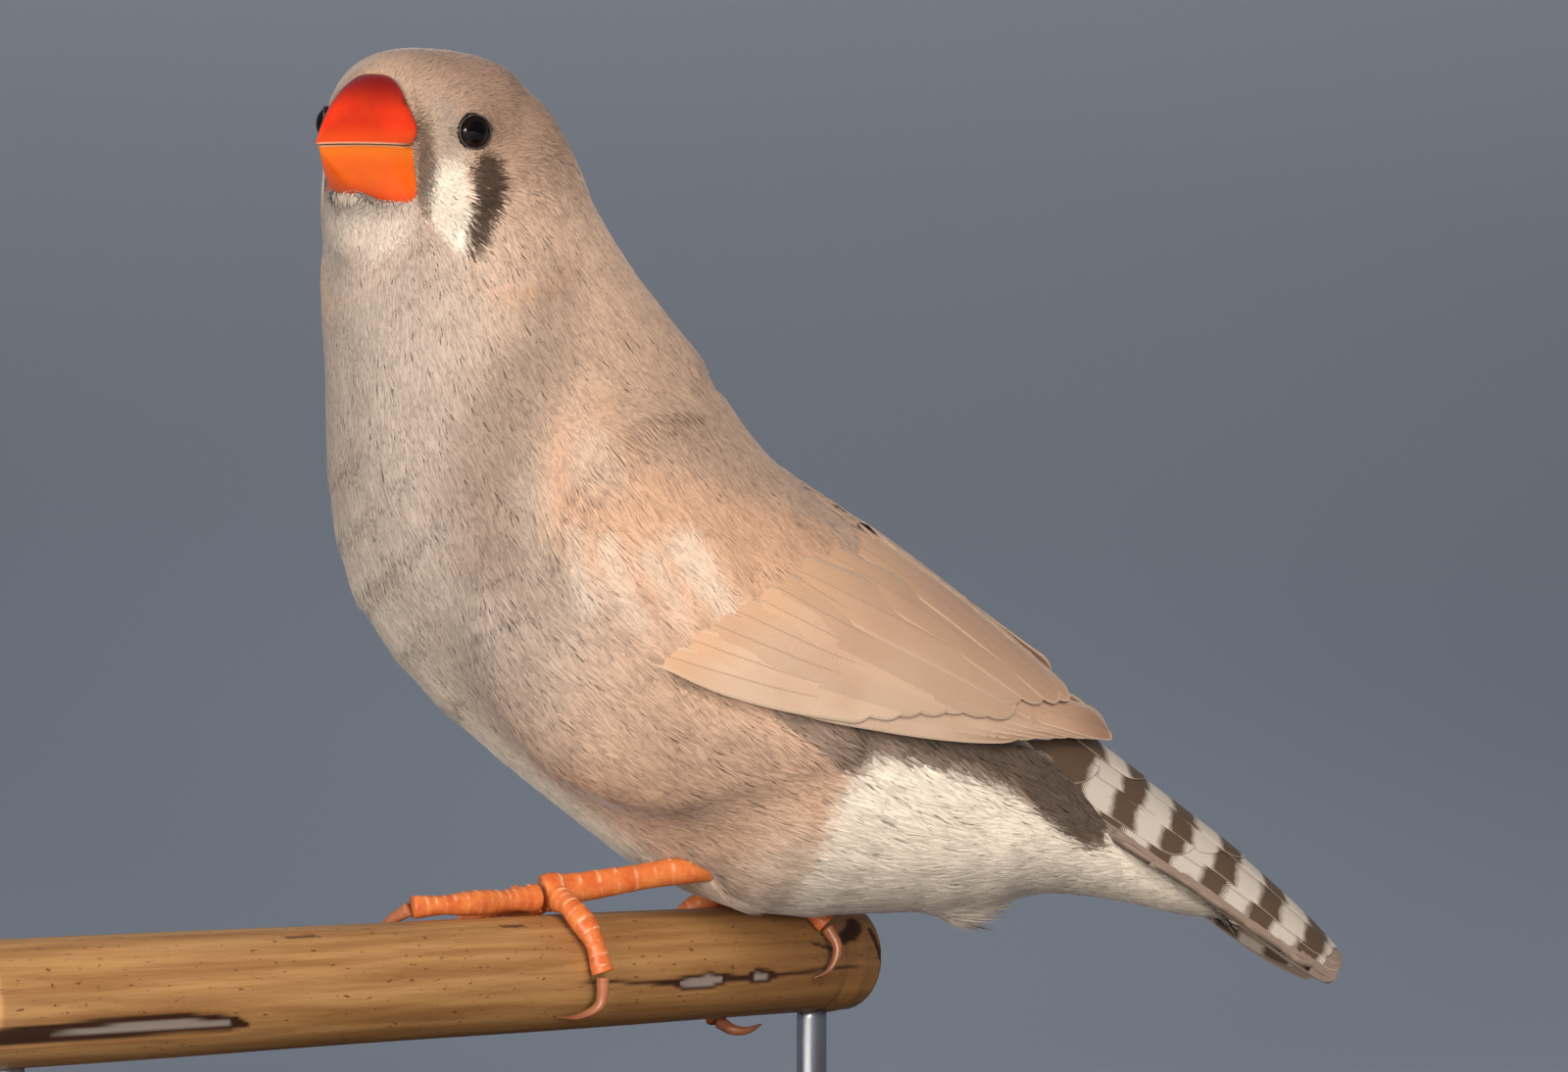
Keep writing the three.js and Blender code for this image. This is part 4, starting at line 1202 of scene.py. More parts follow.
@dataclass
class Coat:
    """The small feathers of the body and head, as strands that lie over the skin."""

    count: int = 900000
    most: int = 248000
    seed: int = 7
    piece_limit: int = 32000
    crowding: float = 0.115
    clump: tuple[float, float] = (3.4, 3.0)
    fan: float = math.radians(9)
    wander: float = math.radians(4)
    spans: tuple = (-1.0, 0.3, 1.0, 2.0, 3.2, 4.4, 5.2, 7.5)
    lengths: tuple = (1.1, 1.1, 1.5, 1.9, 2.1, 2.7, 2.4, 1.8)
    widths: tuple = (0.17, 0.17, 0.22, 0.28, 0.29, 0.29, 0.24, 0.19)
    lifts: tuple = (0.14, 0.14, 0.16, 0.18, 0.2, 0.3, 0.26, 0.2)
    soft_width: float = 0.42
    vary: tuple[float, float] = (0.78, 0.44)
    seen_at: float = 0.55
    level_step: float = 1.12
    wing_way: tuple = (0.83, 0.0, -0.55)
    tuft: tuple = ((23.0, 0.0, 5.0), 3.0)
    tuft_gain: tuple[float, float] = (0.9, 0.7)
    face_middle: tuple = (3.0, 0.0, -1.0)
    eye_clear: float = 1.52
    bill_box: tuple = ((4.2, 12.0), (-3.4, 3.4), (-5.1, 3.0))
    folded: tuple[float, float, float] = (-2.0, 24.0, 20.0)
    away: float = 0.38
    astray: tuple[float, float, float] = (0.6, -6.0, 22.0)
    cover_reach: tuple[float, float, float] = (18.0, 9.0, 3.5)

    def sow(self, mesh: bpy.types.Mesh, random: np.random.Generator) -> tuple[Array, Array]:
        """Roots spread evenly over the skin, denser where the feathers are smaller.

        Args:
            mesh: The skin.
            random: The stream of random numbers.

        Returns:
            Points and normals.
        """
        mesh.calc_loop_triangles()
        triangles = np.zeros(len(mesh.loop_triangles) * 3, np.int32)
        mesh.loop_triangles.foreach_get("vertices", triangles)
        triangles = triangles.reshape(-1, 3)
        points, normals = Skin.read(mesh)
        corners = points[triangles]
        middle = corners.mean(1)
        area = np.linalg.norm(np.cross(corners[:, 1] - corners[:, 0], corners[:, 2] - corners[:, 0]), axis=1)
        along = LIE.along(middle)
        size = np.interp(along, self.spans, self.lengths) * np.interp(along, self.spans, self.widths)
        face = np.linalg.norm(middle - HEAD.out(np.array([self.face_middle])), axis=1)
        size = size * (0.5 + 0.5 * smoothstep(face, 4, 9)) * (1 - self.soft_width * MARKINGS.soft(middle))
        weight = area / size
        total = np.cumsum(weight)
        spots = (np.arange(self.count) + random.random(self.count)) / self.count * total[-1]
        chosen = np.minimum(np.searchsorted(total, spots), len(triangles) - 1)
        one, two = random.random((2, self.count))
        fold = one + two > 1
        one, two = np.where(fold, 1 - one, one), np.where(fold, 1 - two, two)
        shares = np.stack([1 - one - two, one, two], -1)[..., None]
        roots = (corners[chosen] * shares).sum(1)
        level = np.round(np.log(size[chosen] * self.crowding) / (2 * math.log(self.level_step))).astype(int)
        cells = np.floor(roots / (self.level_step ** level)[:, None]).astype(int)
        order = random.permutation(self.count)
        keys = np.column_stack([level, cells])[order] - np.array([level.min(), *cells.min(0)])
        packed = ((keys[:, 0] * 4096 + keys[:, 1]) * 4096 + keys[:, 2]) * 4096 + keys[:, 3]
        _, first = np.unique(packed, return_index=True)
        kept = order[np.sort(first)]
        kept = kept[random.permutation(len(kept))[: self.most]] if len(kept) > self.most else kept
        LOG.info("roots after thinning: %d", len(kept))
        kept = np.sort(kept)
        corner_normals = normals[triangles[chosen[kept]]]
        return roots[kept], unit((corner_normals * shares[kept]).sum(1))

    def build(self, skin: Piece, material: Material, covers: BVHTree) -> list[Piece]:
        """Covers the skin.

        Args:
            skin: The skin.
            material: The coat's finish.
            covers: What hides the skin from outside, such as the wings.

        Returns:
            The coat's pieces.
        """
        random = np.random.default_rng(self.seed)
        roots, normals = self.sow(skin.data, random)
        keep = self.shown(roots, normals, covers)
        roots, normals = roots[keep], normals[keep]
        count = len(roots)
        along, around = LIE.along(roots), LIE.around(roots)
        half = np.interp(along, range(len(LIE.lines)), [line[2] for line in LIE.lines])
        row = along * LIE.step / self.clump[0]
        column = around * half / self.clump[1] + 0.5 * (np.floor(row) % 2)
        aside = column - np.floor(column) - 0.5
        ways = LIE.way(roots, normals)
        bend = self.fan * np.sin(2 * math.pi * aside) + self.wander * random.normal(size=count)
        ways = turned(ways, normals, bend)
        least, front, height = self.astray
        astray = (ways @ unit(np.array(self.wing_way)) < least) & (roots[:, 2] > PERCH_AXIS + height)
        astray &= roots[:, 0] > front
        face = smoothstep(np.linalg.norm(roots - HEAD.out(np.array([self.face_middle])), axis=1), 4.5, 9)
        vary = self.vary[0] + self.vary[1] * random.random((count, 3))
        tables = (self.lengths, self.widths, self.lifts)
        sizes = np.stack([np.interp(along, self.spans, table) for table in tables], -1)
        sizes = sizes * vary
        sizes[:, 0] *= 0.55 + 0.45 * face
        sizes[:, 1] *= 0.85 + 0.15 * face
        soft = MARKINGS.soft(roots)
        sizes = sizes * np.stack([1 - 0.1 * soft, 1 - self.soft_width * soft, 1 - 0.45 * soft], -1)
        tuft = np.exp(-((np.linalg.norm(roots - bird([self.tuft[0]])[0], axis=1) / self.tuft[1]) ** 2))
        sizes[:, 0] *= 1 + self.tuft_gain[0] * tuft
        sizes[:, 2] += self.tuft_gain[1] * tuft
        sizes = np.column_stack([sizes, soft])
        seen = roots + ways * sizes[:, :1] * self.seen_at
        values = MARKINGS.shares(seen, random.normal(scale=0.2, size=(count, 3)))
        values["chance"] = random.random(count)
        flats = LIE.unwrap(roots)
        pieces = []
        for k in range(math.ceil(count / self.piece_limit)):
            part = np.arange(k * self.piece_limit, min((k + 1) * self.piece_limit, count))
            part = part[~astray[part]]
            carried = {key: value[part] for key, value in values.items()}
            form = Strands().form(roots[part], normals[part], ways[part], sizes[part], flats[part], carried)
            piece = form.build(f"coat_{k + 1}", material)
            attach(piece, "root")
            pieces.append(piece)
        return pieces

    def shown(self, roots: Array, normals: Array, covers: BVHTree) -> Array:
        """Which roots neither the wings nor the tail nor an eye nor the bill covers.

        Args:
            roots: Roots, in the part's frame.
            normals: The skin's normals there.
            covers: What hides the skin from outside.

        Returns:
            True for each root that shows.
        """
        keep = np.ones(len(roots), bool)
        for side in (1, -1):
            keep &= np.linalg.norm(roots - EYES.centre(side), axis=1) > self.eye_clear
        head = HEAD.inward(roots)
        low, high = np.array(self.bill_box).T
        keep &= ~((head > low) & (head < high)).all(1)
        front, rear, height = self.folded
        behind = (normals @ unit(np.array(self.wing_way)) > self.away) & (roots[:, 2] > PERCH_AXIS + height)
        keep &= ~(behind & (roots[:, 0] > front) & (roots[:, 0] < rear))
        tail, whole, short = self.cover_reach
        reach = np.where(roots[:, 0] > tail, short, whole)
        for k in np.flatnonzero(keep):
            start = Vector(roots[k] * MM)
            hit = covers.ray_cast(start, Vector(normals[k]), reach[k] * MM)
            keep[k] = hit[0] is None
        return keep


@dataclass(frozen=True)
class WingFace:
    """The outer face of one wing: u runs from the shoulder to the tip, v from the back down."""

    side: int
    upper: tuple = (
        (-8.2, 11.6, 46.8), (-1, 9, 46.4), (7.5, 5.6, 39.8), (15.7, 3.8, 34), (24, 2.8, 27.7),
        (30.4, 2.3, 22.3), (34.6, 2.6, 18.6),
    )
    lower: tuple = (
        (-13.8, 15.2, 42.4), (-13.8, 16.6, 33), (-7.5, 17.2, 25.6), (2.8, 16.2, 21.6), (14.4, 13.4, 19.8),
        (25, 8.8, 18.8), (34.6, 3.2, 18.1),
    )
    bulge: float = 4.2
    bulge_start: float = 0.15
    outward_rise: float = 0.45
    right_rise: float = 2.0
    thickness: float = 0.9
    thinning: float = 0.6
    edge_share: float = 0.15

    def hem(self, v: Array) -> Array:
        """How far towards the tip the small feathers of the shoulder reach."""
        return 0.49 - 0.08 * smoothstep(v, 0.55, 1.0)

    def edge(self, rows: tuple, rise: float) -> Curve:
        """One edge of the wing as a curve."""
        return Curve(bird([(x, self.side * out, z + rise) for x, out, z in rows]))

    def at(self, u: Array, v: Array, out: Array) -> Array:
        """Points that stand a given way off the wing's core.

        Args:
            u: Shares of the way to the tip.
            v: Shares of the way down.
            out: How far each point stands off, in millimetres.

        Returns:
            One point for each.
        """
        u, v, out = np.broadcast_arrays(*(np.asarray(a, float) for a in (u, v, out)))
        shape, u, v, out = u.shape, u.ravel(), v.ravel()[:, None], out.ravel()[:, None]
        top = self.edge(self.upper, self.right_rise if self.side > 0 else 0).at(u)
        low = self.edge(self.lower, 0).at(u)
        swell = np.sin(math.pi * np.clip(u + self.bulge_start, 0, 1))[:, None] * self.bulge * 4 * v * (1 - v)
        share = self.edge_share + (1 - 2 * self.edge_share) * np.clip(v, 0, 1)
        rise = self.thickness * (1 - self.thinning * u[:, None]) * np.sin(math.pi * share)
        outward = unit(np.array([0, self.side, self.outward_rise]))
        return (top * (1 - v) + low * v + outward * (swell + rise + out)).reshape(*shape, 3)


@dataclass(frozen=True)
class TailFace:
    """The tail's upper face: u runs to the tip, v from the right edge, -1, to the left edge, 1."""

    ridge: tuple = ((27, 22.6), (35, 16.6), (41, 12.2), (46, 8.4), (51.7, 3.4), (54.8, 0.2))
    edge: tuple = ((24.5, 15.8), (31, 12.4), (36, 9.4), (42, 5.8), (49.6, 0.7), (54.2, -1.9))
    half: tuple = (6.4, 5.6, 5, 4.6, 4, 2.6)

    def at(self, u: Array, v: Array, out: Array) -> Array:
        """Points that stand a given way above the tail's face, laid out as for a wing.

        Args:
            u: Shares of the way to the tip.
            v: Places across, from -1 to 1.
            out: Heights over the face, in millimetres.

        Returns:
            One point for each.
        """
        u, v, out = np.broadcast_arrays(*(np.asarray(a, float) for a in (u, v, out)))
        shape, u, v, out = u.shape, u.ravel(), v.ravel(), out.ravel()
        ridge = Curve(np.array([(x, 0, z) for x, z in self.ridge])).at(u)
        edge = Curve(np.array([(x, 0, z) for x, z in self.edge])).at(u)
        half = Curve(np.array([(i, w, 0.0) for i, w in enumerate(self.half)])).at(u)[:, 1]
        drop = (1 - np.cos(math.pi / 2 * np.clip(np.abs(v), 0, 1.15)))[:, None]
        flat = ridge * (1 - drop) + edge * drop
        side = -np.sin(math.pi / 2 * np.clip(v, -1.15, 1.15)) * half
        return bird(np.stack([flat[:, 0], side, flat[:, 2] + out], -1)).reshape(*shape, 3)


@dataclass(frozen=True)
class VaneRow:
    """A row of overlapping feathers, from its first one to its last one.

    Roots and tips are places on the face, half widths and lifts are in millimetres, and tone is
    how pale the feathers are.
    """

    count: int
    root: tuple
    tip: tuple
    half: tuple
    lift: tuple
    tone: tuple = (0.0, 0.0)
    blunt: float = 1.3
    kind: float = 0.0


@dataclass(frozen=True)
class Vanes:
    """Whole feathers with a shaft and two webs, laid on a wing's or the tail's face."""

    rows: int = 26
    columns: int = 11
    thickness: float = 0.07
    crown: float = 0.12
    tuck: float = 0.05
    shaft: float = 0.05
    shaft_half: float = 0.1
    root_sink: float = 0.5
    scatter: tuple[float, float, float] = (0.012, 0.015, 0.06)
    tail_way: tuple[float, float] = (0.778, -0.628)

    def row(
        self, face: WingFace | TailFace, row: VaneRow, random: np.random.Generator, mirror: int = 1,
    ) -> list[Form]:
        """All the feathers of one row.

        Args:
            face: What they lie on.
            row: The row.
            random: The stream of random numbers.
            mirror: -1 for the right half of a face that v runs across.

        Returns:
            One form for each feather.
        """
        made = []
        for i in range(row.count):
            t = i / max(row.count - 1, 1)
            root, tip = (np.array(p[0]) * (1 - t) + np.array(p[1]) * t for p in (row.root, row.tip))
            tip = tip + np.array(self.scatter[:2]) * (random.random(2) - 0.5)
            half = (row.half[0] * (1 - t) + row.half[1] * t) * (1 + self.scatter[2] * (random.random() - 0.5))
            lift = row.lift[0] * (1 - t) + row.lift[1] * t
            tone = row.tone[0] * (1 - t) + row.tone[1] * t
            turn = np.array([1, mirror])
            made.append(self.one(face, root * turn, tip * turn, half, lift, row, tone, random, mirror))
        return made

    def one(self, face: WingFace | TailFace, root: Array, tip: Array, half: float, lift: float, row: VaneRow,
            tone: float, random: np.random.Generator, mirror: int) -> Form:
        """One feather as a thin closed form.

        Args:
            face: What it lies on.
            root: Where it starts on the face.
            tip: Where it ends.
            half: Half its width, in millimetres.
            lift: How far it stands off the face.
            row: The row it belongs to.
            tone: How pale it is.
            random: The stream of random numbers.
            mirror: -1 for the right half of a face that v runs across.

        Returns:
            The feather.
        """
        t = 1 - (1 - np.linspace(0, 1, self.rows)) ** 1.6
        u, v = root[0] + (tip[0] - root[0]) * t, root[1] + (tip[1] - root[1]) * t
        middle = face.at(u, v, 0)
        gone = np.concatenate([[0], np.cumsum(np.linalg.norm(np.diff(middle, axis=0), axis=1))])
        left = gone[-1] - gone
        reach = half * row.blunt
        tipped = np.sqrt(np.clip(1 - (1 - np.clip(left / reach, 0, 1)) ** 2, 0.0008, 1))
        width = half * tipped * (0.6 + 0.4 * smoothstep(t, 0, 0.4))
        step = 1e-3
        by_u = (face.at(u + step, v, 0) - face.at(u - step, v, 0)) / (2 * step)
        by_v = (face.at(u, v + step, 0) - face.at(u, v - step, 0)) / (2 * step)
        ahead = by_u * (tip[0] - root[0]) + by_v * (tip[1] - root[1])
        aside = unit(np.cross(unit(np.cross(by_u, by_v)), unit(ahead)))
        aside = aside * np.sign((aside * by_v).sum(-1, keepdims=True))
        uu, uv, vv = (by_u * by_u).sum(-1), (by_u * by_v).sum(-1), (by_v * by_v).sum(-1)
        pu, pv = (by_u * aside).sum(-1), (by_v * aside).sum(-1)
        both = uu * vv - uv * uv
        du, dv = (vv * pu - uv * pv) / both, (uu * pv - uv * pu) / both
        across = np.linspace(-1, 1, self.columns)[None]
        far = across * width[:, None]
        bow = lift * np.minimum(1, 3 * t) - self.root_sink * (1 - smoothstep(t, 0, 0.12))
        rise = bow[:, None] - self.crown * (far / half) ** 2 + self.tuck * far / half * mirror
        spine = self.shaft * (1 - 0.6 * t)[:, None] * np.exp(-((far / self.shaft_half) ** 2))
        places = (u[:, None] + far * du[:, None], v[:, None] + far * dv[:, None])
        upper = face.at(*places, rise + spine)
        lower = face.at(*places, rise - self.thickness)
        form = slab(upper, lower)
        near = np.minimum(width[:, None] - np.abs(far), left[:, None])
        shape = near.shape
        chance = random.random()
        station = upper[..., 0] * self.tail_way[0] + (upper[..., 2] - PERCH_AXIS) * self.tail_way[1]
        values = {
            "across": far, "along": np.broadcast_to(gone[:, None], shape), "edge": near,
            "tone": np.full(shape, tone), "chance": np.full(shape, chance), "kind": np.full(shape, row.kind),
            "station": station + 0.35 * (chance - 0.5) - 0.16 * far**2,
            "share": np.broadcast_to(t[:, None], shape),
        }
        form.values = {key: np.tile(value.ravel(), 2) for key, value in values.items()}
        return form.outward()

    def core(self, upper: Array, lower: Array) -> Form:
        """The closed form under the feathers, which carries the same values as they do.

        Args:
            upper: Points of its upper face.
            lower: Points of its lower face.

        Returns:
            The core.
        """
        form = slab(upper, lower)
        count = len(form.points)
        keys = ("across", "along", "edge", "tone", "chance", "kind", "station", "share")
        form.values = {key: np.full(count, 0.5) for key in keys}
        return form.outward()


@dataclass(frozen=True)
class WebFinish(Finish):
    """The finish of flight feathers and coverts: webs of slanting barbs, pale at their edges."""

    fawn: str = "b98e70"
    pale: str = "d8bb9f"
    deep: str = "8c6850"
    warm: str = "cb9f7c"
    shaft: str = "a5826a"

    def build(self) -> Material:
        """Makes the material.

        Returns:
            The material.
        """
        material, graph, shader = self.open()
        vector = graph.place()
        barbs = Effect.use(graph, Effect.barbs(), {
            "Across": graph.carried("across"), "Along": graph.carried("along"), "Vector": vector,
            "Spacing": 0.24, "Slant": 1.1, "Wander": 0.5,
        })
        body = graph.mix(graph.carried("tone"), self.fawn, self.pale)
        soft = graph.noise(vector, 130.0, 2.0)
        body = graph.mix(graph.ease(soft, 0.4, 0.75, 0.0, 0.45), body, self.fawn)
        tip = graph.math("MULTIPLY", graph.carried("kind"), graph.ease(graph.carried("share"), 0.7, 1.0))
        body = graph.mix(graph.math("MULTIPLY", tip, 0.9), body, self.deep)
        root = graph.ease(graph.carried("share"), 0.12, 0.42, 0.85, 0.0)
        body = graph.mix(root, body, self.warm)
        rim = graph.ease(graph.carried("edge"), 0.05, 0.4, 0.55, 0.0)
        body = graph.mix(rim, body, self.pale)
        spine = graph.ease(graph.math("ABSOLUTE", graph.carried("across")), 0.05, 0.11, 0.5, 0.0)
        body = graph.mix(spine, body, self.shaft)
        line = graph.ease(barbs["Line"], 0.0, 1.0, 0.8, 1.06)
        single = graph.ease(graph.carried("chance"), 0.0, 1.0, 0.93, 1.05)
        graph.put(shader.inputs["Base Color"], graph.shaded(body, graph.math("MULTIPLY", line, single)))
        graph.put(shader.inputs["Normal"], graph.bump(barbs["Line"], 0.35, 0.03 * MM))
        return material


@dataclass(frozen=True)
class BarFinish(Finish):
    """The finish of the tail: long coverts barred dark and white over plain brown feathers."""

    dark: str = "574434"
    white: str = "c0b1a2"
    plain: str = "8d7767"
    period: float = 4.95
    start: float = 16.9

    def build(self) -> Material:
        """Makes the material.

        Returns:
            The material.
        """
        material, graph, shader = self.open()
        vector = graph.place()
        barbs = Effect.use(graph, Effect.barbs(), {
            "Across": graph.carried("across"), "Along": graph.carried("along"), "Vector": vector,
            "Spacing": 0.22, "Slant": 1.3, "Wander": 0.5,
        })
        torn = graph.noise(vector, 900.0, 3.0)
        ripple = graph.math("MULTIPLY", barbs["Line"], 0.5)
        place = graph.math("ADD", graph.carried("station"), graph.math("ADD", torn, ripple))
        phase = graph.math("DIVIDE", graph.math("SUBTRACT", place, self.start + 0.6), self.period)
        wave = graph.math("COSINE", graph.math("MULTIPLY", phase, 2 * math.pi))
        begun = graph.ease(place, self.start - 2.6, self.start - 1.6)
        white = graph.math("MULTIPLY", graph.ease(wave, -0.22, 0.14), begun)
        bars = graph.mix(white, self.dark, self.white)
        body = graph.mix(graph.carried("kind"), self.plain, bars)
        rim = graph.ease(graph.carried("edge"), 0.03, 0.16, 0.3, 0.0)
        body = graph.mix(rim, body, "c9b29c")
        spine = graph.ease(graph.math("ABSOLUTE", graph.carried("across")), 0.05, 0.1, 0.35, 0.0)
        body = graph.mix(spine, body, "4a382b")
        line = graph.ease(barbs["Line"], 0.0, 1.0, 0.76, 1.08)
        graph.put(shader.inputs["Base Color"], graph.shaded(body, line))
        graph.put(shader.inputs["Normal"], graph.bump(barbs["Line"], 0.35, 0.03 * MM))
        return material


@dataclass
class Wing:
    """One folded wing: its core, its flight feathers and its coverts."""

    side: int
    seed: int = 5
    rows: tuple[VaneRow, ...] = (
        VaneRow(7, ((0.44, 0.95), (0.5, 0.55)), ((0.84, 1.0), (1.0, 0.5)), (1.5, 1.9), (0.05, 0.35), (0.75,
                0.25), 1.6, 1.0),
        VaneRow(7, ((0.37, 0.97), (0.42, 0.5)), ((0.64, 0.96), (0.8, 0.62)), (1.6, 2.7), (0.35, 0.6), (0.8,
                0.35), 1.1),
        VaneRow(3, ((0.42, 0.48), (0.46, 0.16)), ((0.8, 0.44), (0.86, 0.2)), (2.7, 2.1), (0.7, 0.85), (0.3,
                0.1), 1.2),
        VaneRow(1, ((0.46, 0.07),) * 2, ((0.87, 0.1),) * 2, (1.5, 1.5), (0.8, 0.8), (0.12, 0.12), 1.2),
    )
    start: float = 0.36
    end: float = 0.9
    depth: tuple[float, float, float] = (4.0, 0.6, 1.5)
    inset: float = 0.12
    root_sink: float = 1.4
    root_fade: tuple = ((0.44, 0.53), (0.0, 0.2))

    @property
    def name(self) -> str:
        """Which wing it is."""
        return "wing_right" if self.side > 0 else "wing_left"

    def build(self, web: Material) -> Piece:
        """Makes the wing.

        Args:
            web: The finish of its feathers.

        Returns:
            The wing as one piece.
        """
        face = WingFace(self.side)
        random = np.random.default_rng(self.seed + self.side)
        u, v = np.meshgrid(np.linspace(self.start, self.end, 40), np.linspace(0, 1, 24), indexing="ij")
        rise = face.thickness * (1 - face.thinning * u) * np.sin(
            math.pi * (face.edge_share + (1 - 2 * face.edge_share) * v))
        deep = self.depth[0] + (self.depth[1] - self.depth[0]) * u ** self.depth[2]
        vanes = Vanes()
        along, down = self.root_fade
        sunk = self.inset + self.root_sink * (1 - smoothstep(u, *along)) * (1 - smoothstep(v, *down))
        forms = [vanes.core(face.at(u, v, -sunk), face.at(u, v, -deep - rise))]
        for row in self.rows:
            forms += vanes.row(face, row, random)
        made = Form.joined(forms).build(f"{self.name}_feathers", web)
        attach(made, "root")
        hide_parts(self.name)
        return made


@dataclass
class Tail:
    """The folded tail: its core, twelve tail feathers and the barred coverts over them."""

    seed: int = 31
    rows: tuple[VaneRow, ...] = (
        VaneRow(6, ((0.3, 0.86), (0.3, 0.1)), ((0.97, 0.9), (1.0, 0.14)), (1.3, 1.6), (0.02, 0.3), (0.4,
                0.3), 1.4),
        VaneRow(3, ((-0.1, 0.86), (-0.1, 0.12)), ((0.92, 0.8), (0.97, 0.16)), (2.0, 1.9), (0.35, 0.5), (0,
                0), 1.3, 1.0),
        VaneRow(3, ((-0.12, 0.7), (-0.12, 0.14)), ((0.5, 0.6), (0.62, 0.16)), (2.3, 2.1), (0.55, 0.7), (0,
                0), 1.0, 1.0),
        VaneRow(2, ((-0.16, 0.66), (-0.14, 0.2)), ((0.2, 0.56), (0.3, 0.16)), (2.9, 2.6), (0.75, 0.9), (0,
                0), 0.9, 1.0),
    )
    thickness: tuple = (2.4, 1.9, 1.5, 1.2, 0.9, 0.6)
    edge_thickness: float = 0.6
    inset: float = 0.05
    end: float = 0.86

    def build(self, material: Material) -> Piece:
        """Makes the tail.

        Args:
            material: The finish of its feathers.

        Returns:
            The tail as one piece.
        """
        face = TailFace()
        random = np.random.default_rng(self.seed)
        u, v = np.meshgrid(np.linspace(0, self.end, 30), np.linspace(-1, 1, 25), indexing="ij")
        deep = np.interp(u / self.end, np.linspace(0, 1, 6), self.thickness)
        middle = np.cos(math.pi / 2 * v)
        deep = self.edge_thickness * (1 - middle) + deep * middle
        vanes = Vanes()
        forms = [vanes.core(face.at(u, v, -self.inset), face.at(u, v, -deep))]
        forms[0].values["kind"][:] = 0
        for row in self.rows:
            forms += vanes.row(face, row, random) + vanes.row(face, row, random, -1)
        made = Form.joined(forms).build("tail_feathers", material)
        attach(made, "root")
        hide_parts("tail")
        return made


@dataclass(frozen=True)
class BillFinish(Finish):
    """The finish of the waxy bill: crimson along the top, orange at the sides and below, with a painted
    highlight along the mouth line and painted shade in the nostrils.
    """

    base: str = "d62c10"
    deep: str = "7e0c0b"
    bright: str = "e65014"

    def build(self) -> Material:
        """Makes the material.

        Returns:
            The material.
        """
        material, graph, shader = self.open()
        vector = graph.place()
        grain = Effect.use(graph, Effect.mottle(), {
            "Vector": vector, "Scale": 900.0, "Contrast": 0.5, "One": self.base, "Two": self.bright,
        })
        body = graph.mix(0.35, self.base, grain["Colour"])
        body = graph.mix(graph.ease(graph.carried("high"), 0.04, 0.34, 0.75, 0.0), body, self.bright)
        body = graph.mix(graph.ease(graph.carried("high"), 0.45, 0.95, 0.0, 0.95), body, self.deep)
        # Painted highlight: a thin cream line along the mouth's edge.
        rim = graph.ease(graph.carried("edge"), 0.03, 0.2, 0.7, 0.0)
        body = graph.mix(rim, body, "f7c9a0")
        # Painted shade: a dark spot for the shade inside each nostril, which has no opening in the mesh.
        body = graph.mix(graph.carried("nostril"), body, "45160f")
        graph.put(shader.inputs["Base Color"], body)
        low, high = self.roughness - 0.05, self.roughness + 0.1
        scuff = graph.ease(graph.noise(vector, 2400.0, 3.0), 0.3, 0.7, low, high)
        graph.put(shader.inputs["Roughness"], scuff)
        graph.put(shader.inputs["Normal"], graph.bump(graph.noise(vector, 1500.0, 3.0), 0.12, 0.05 * MM))
        return material


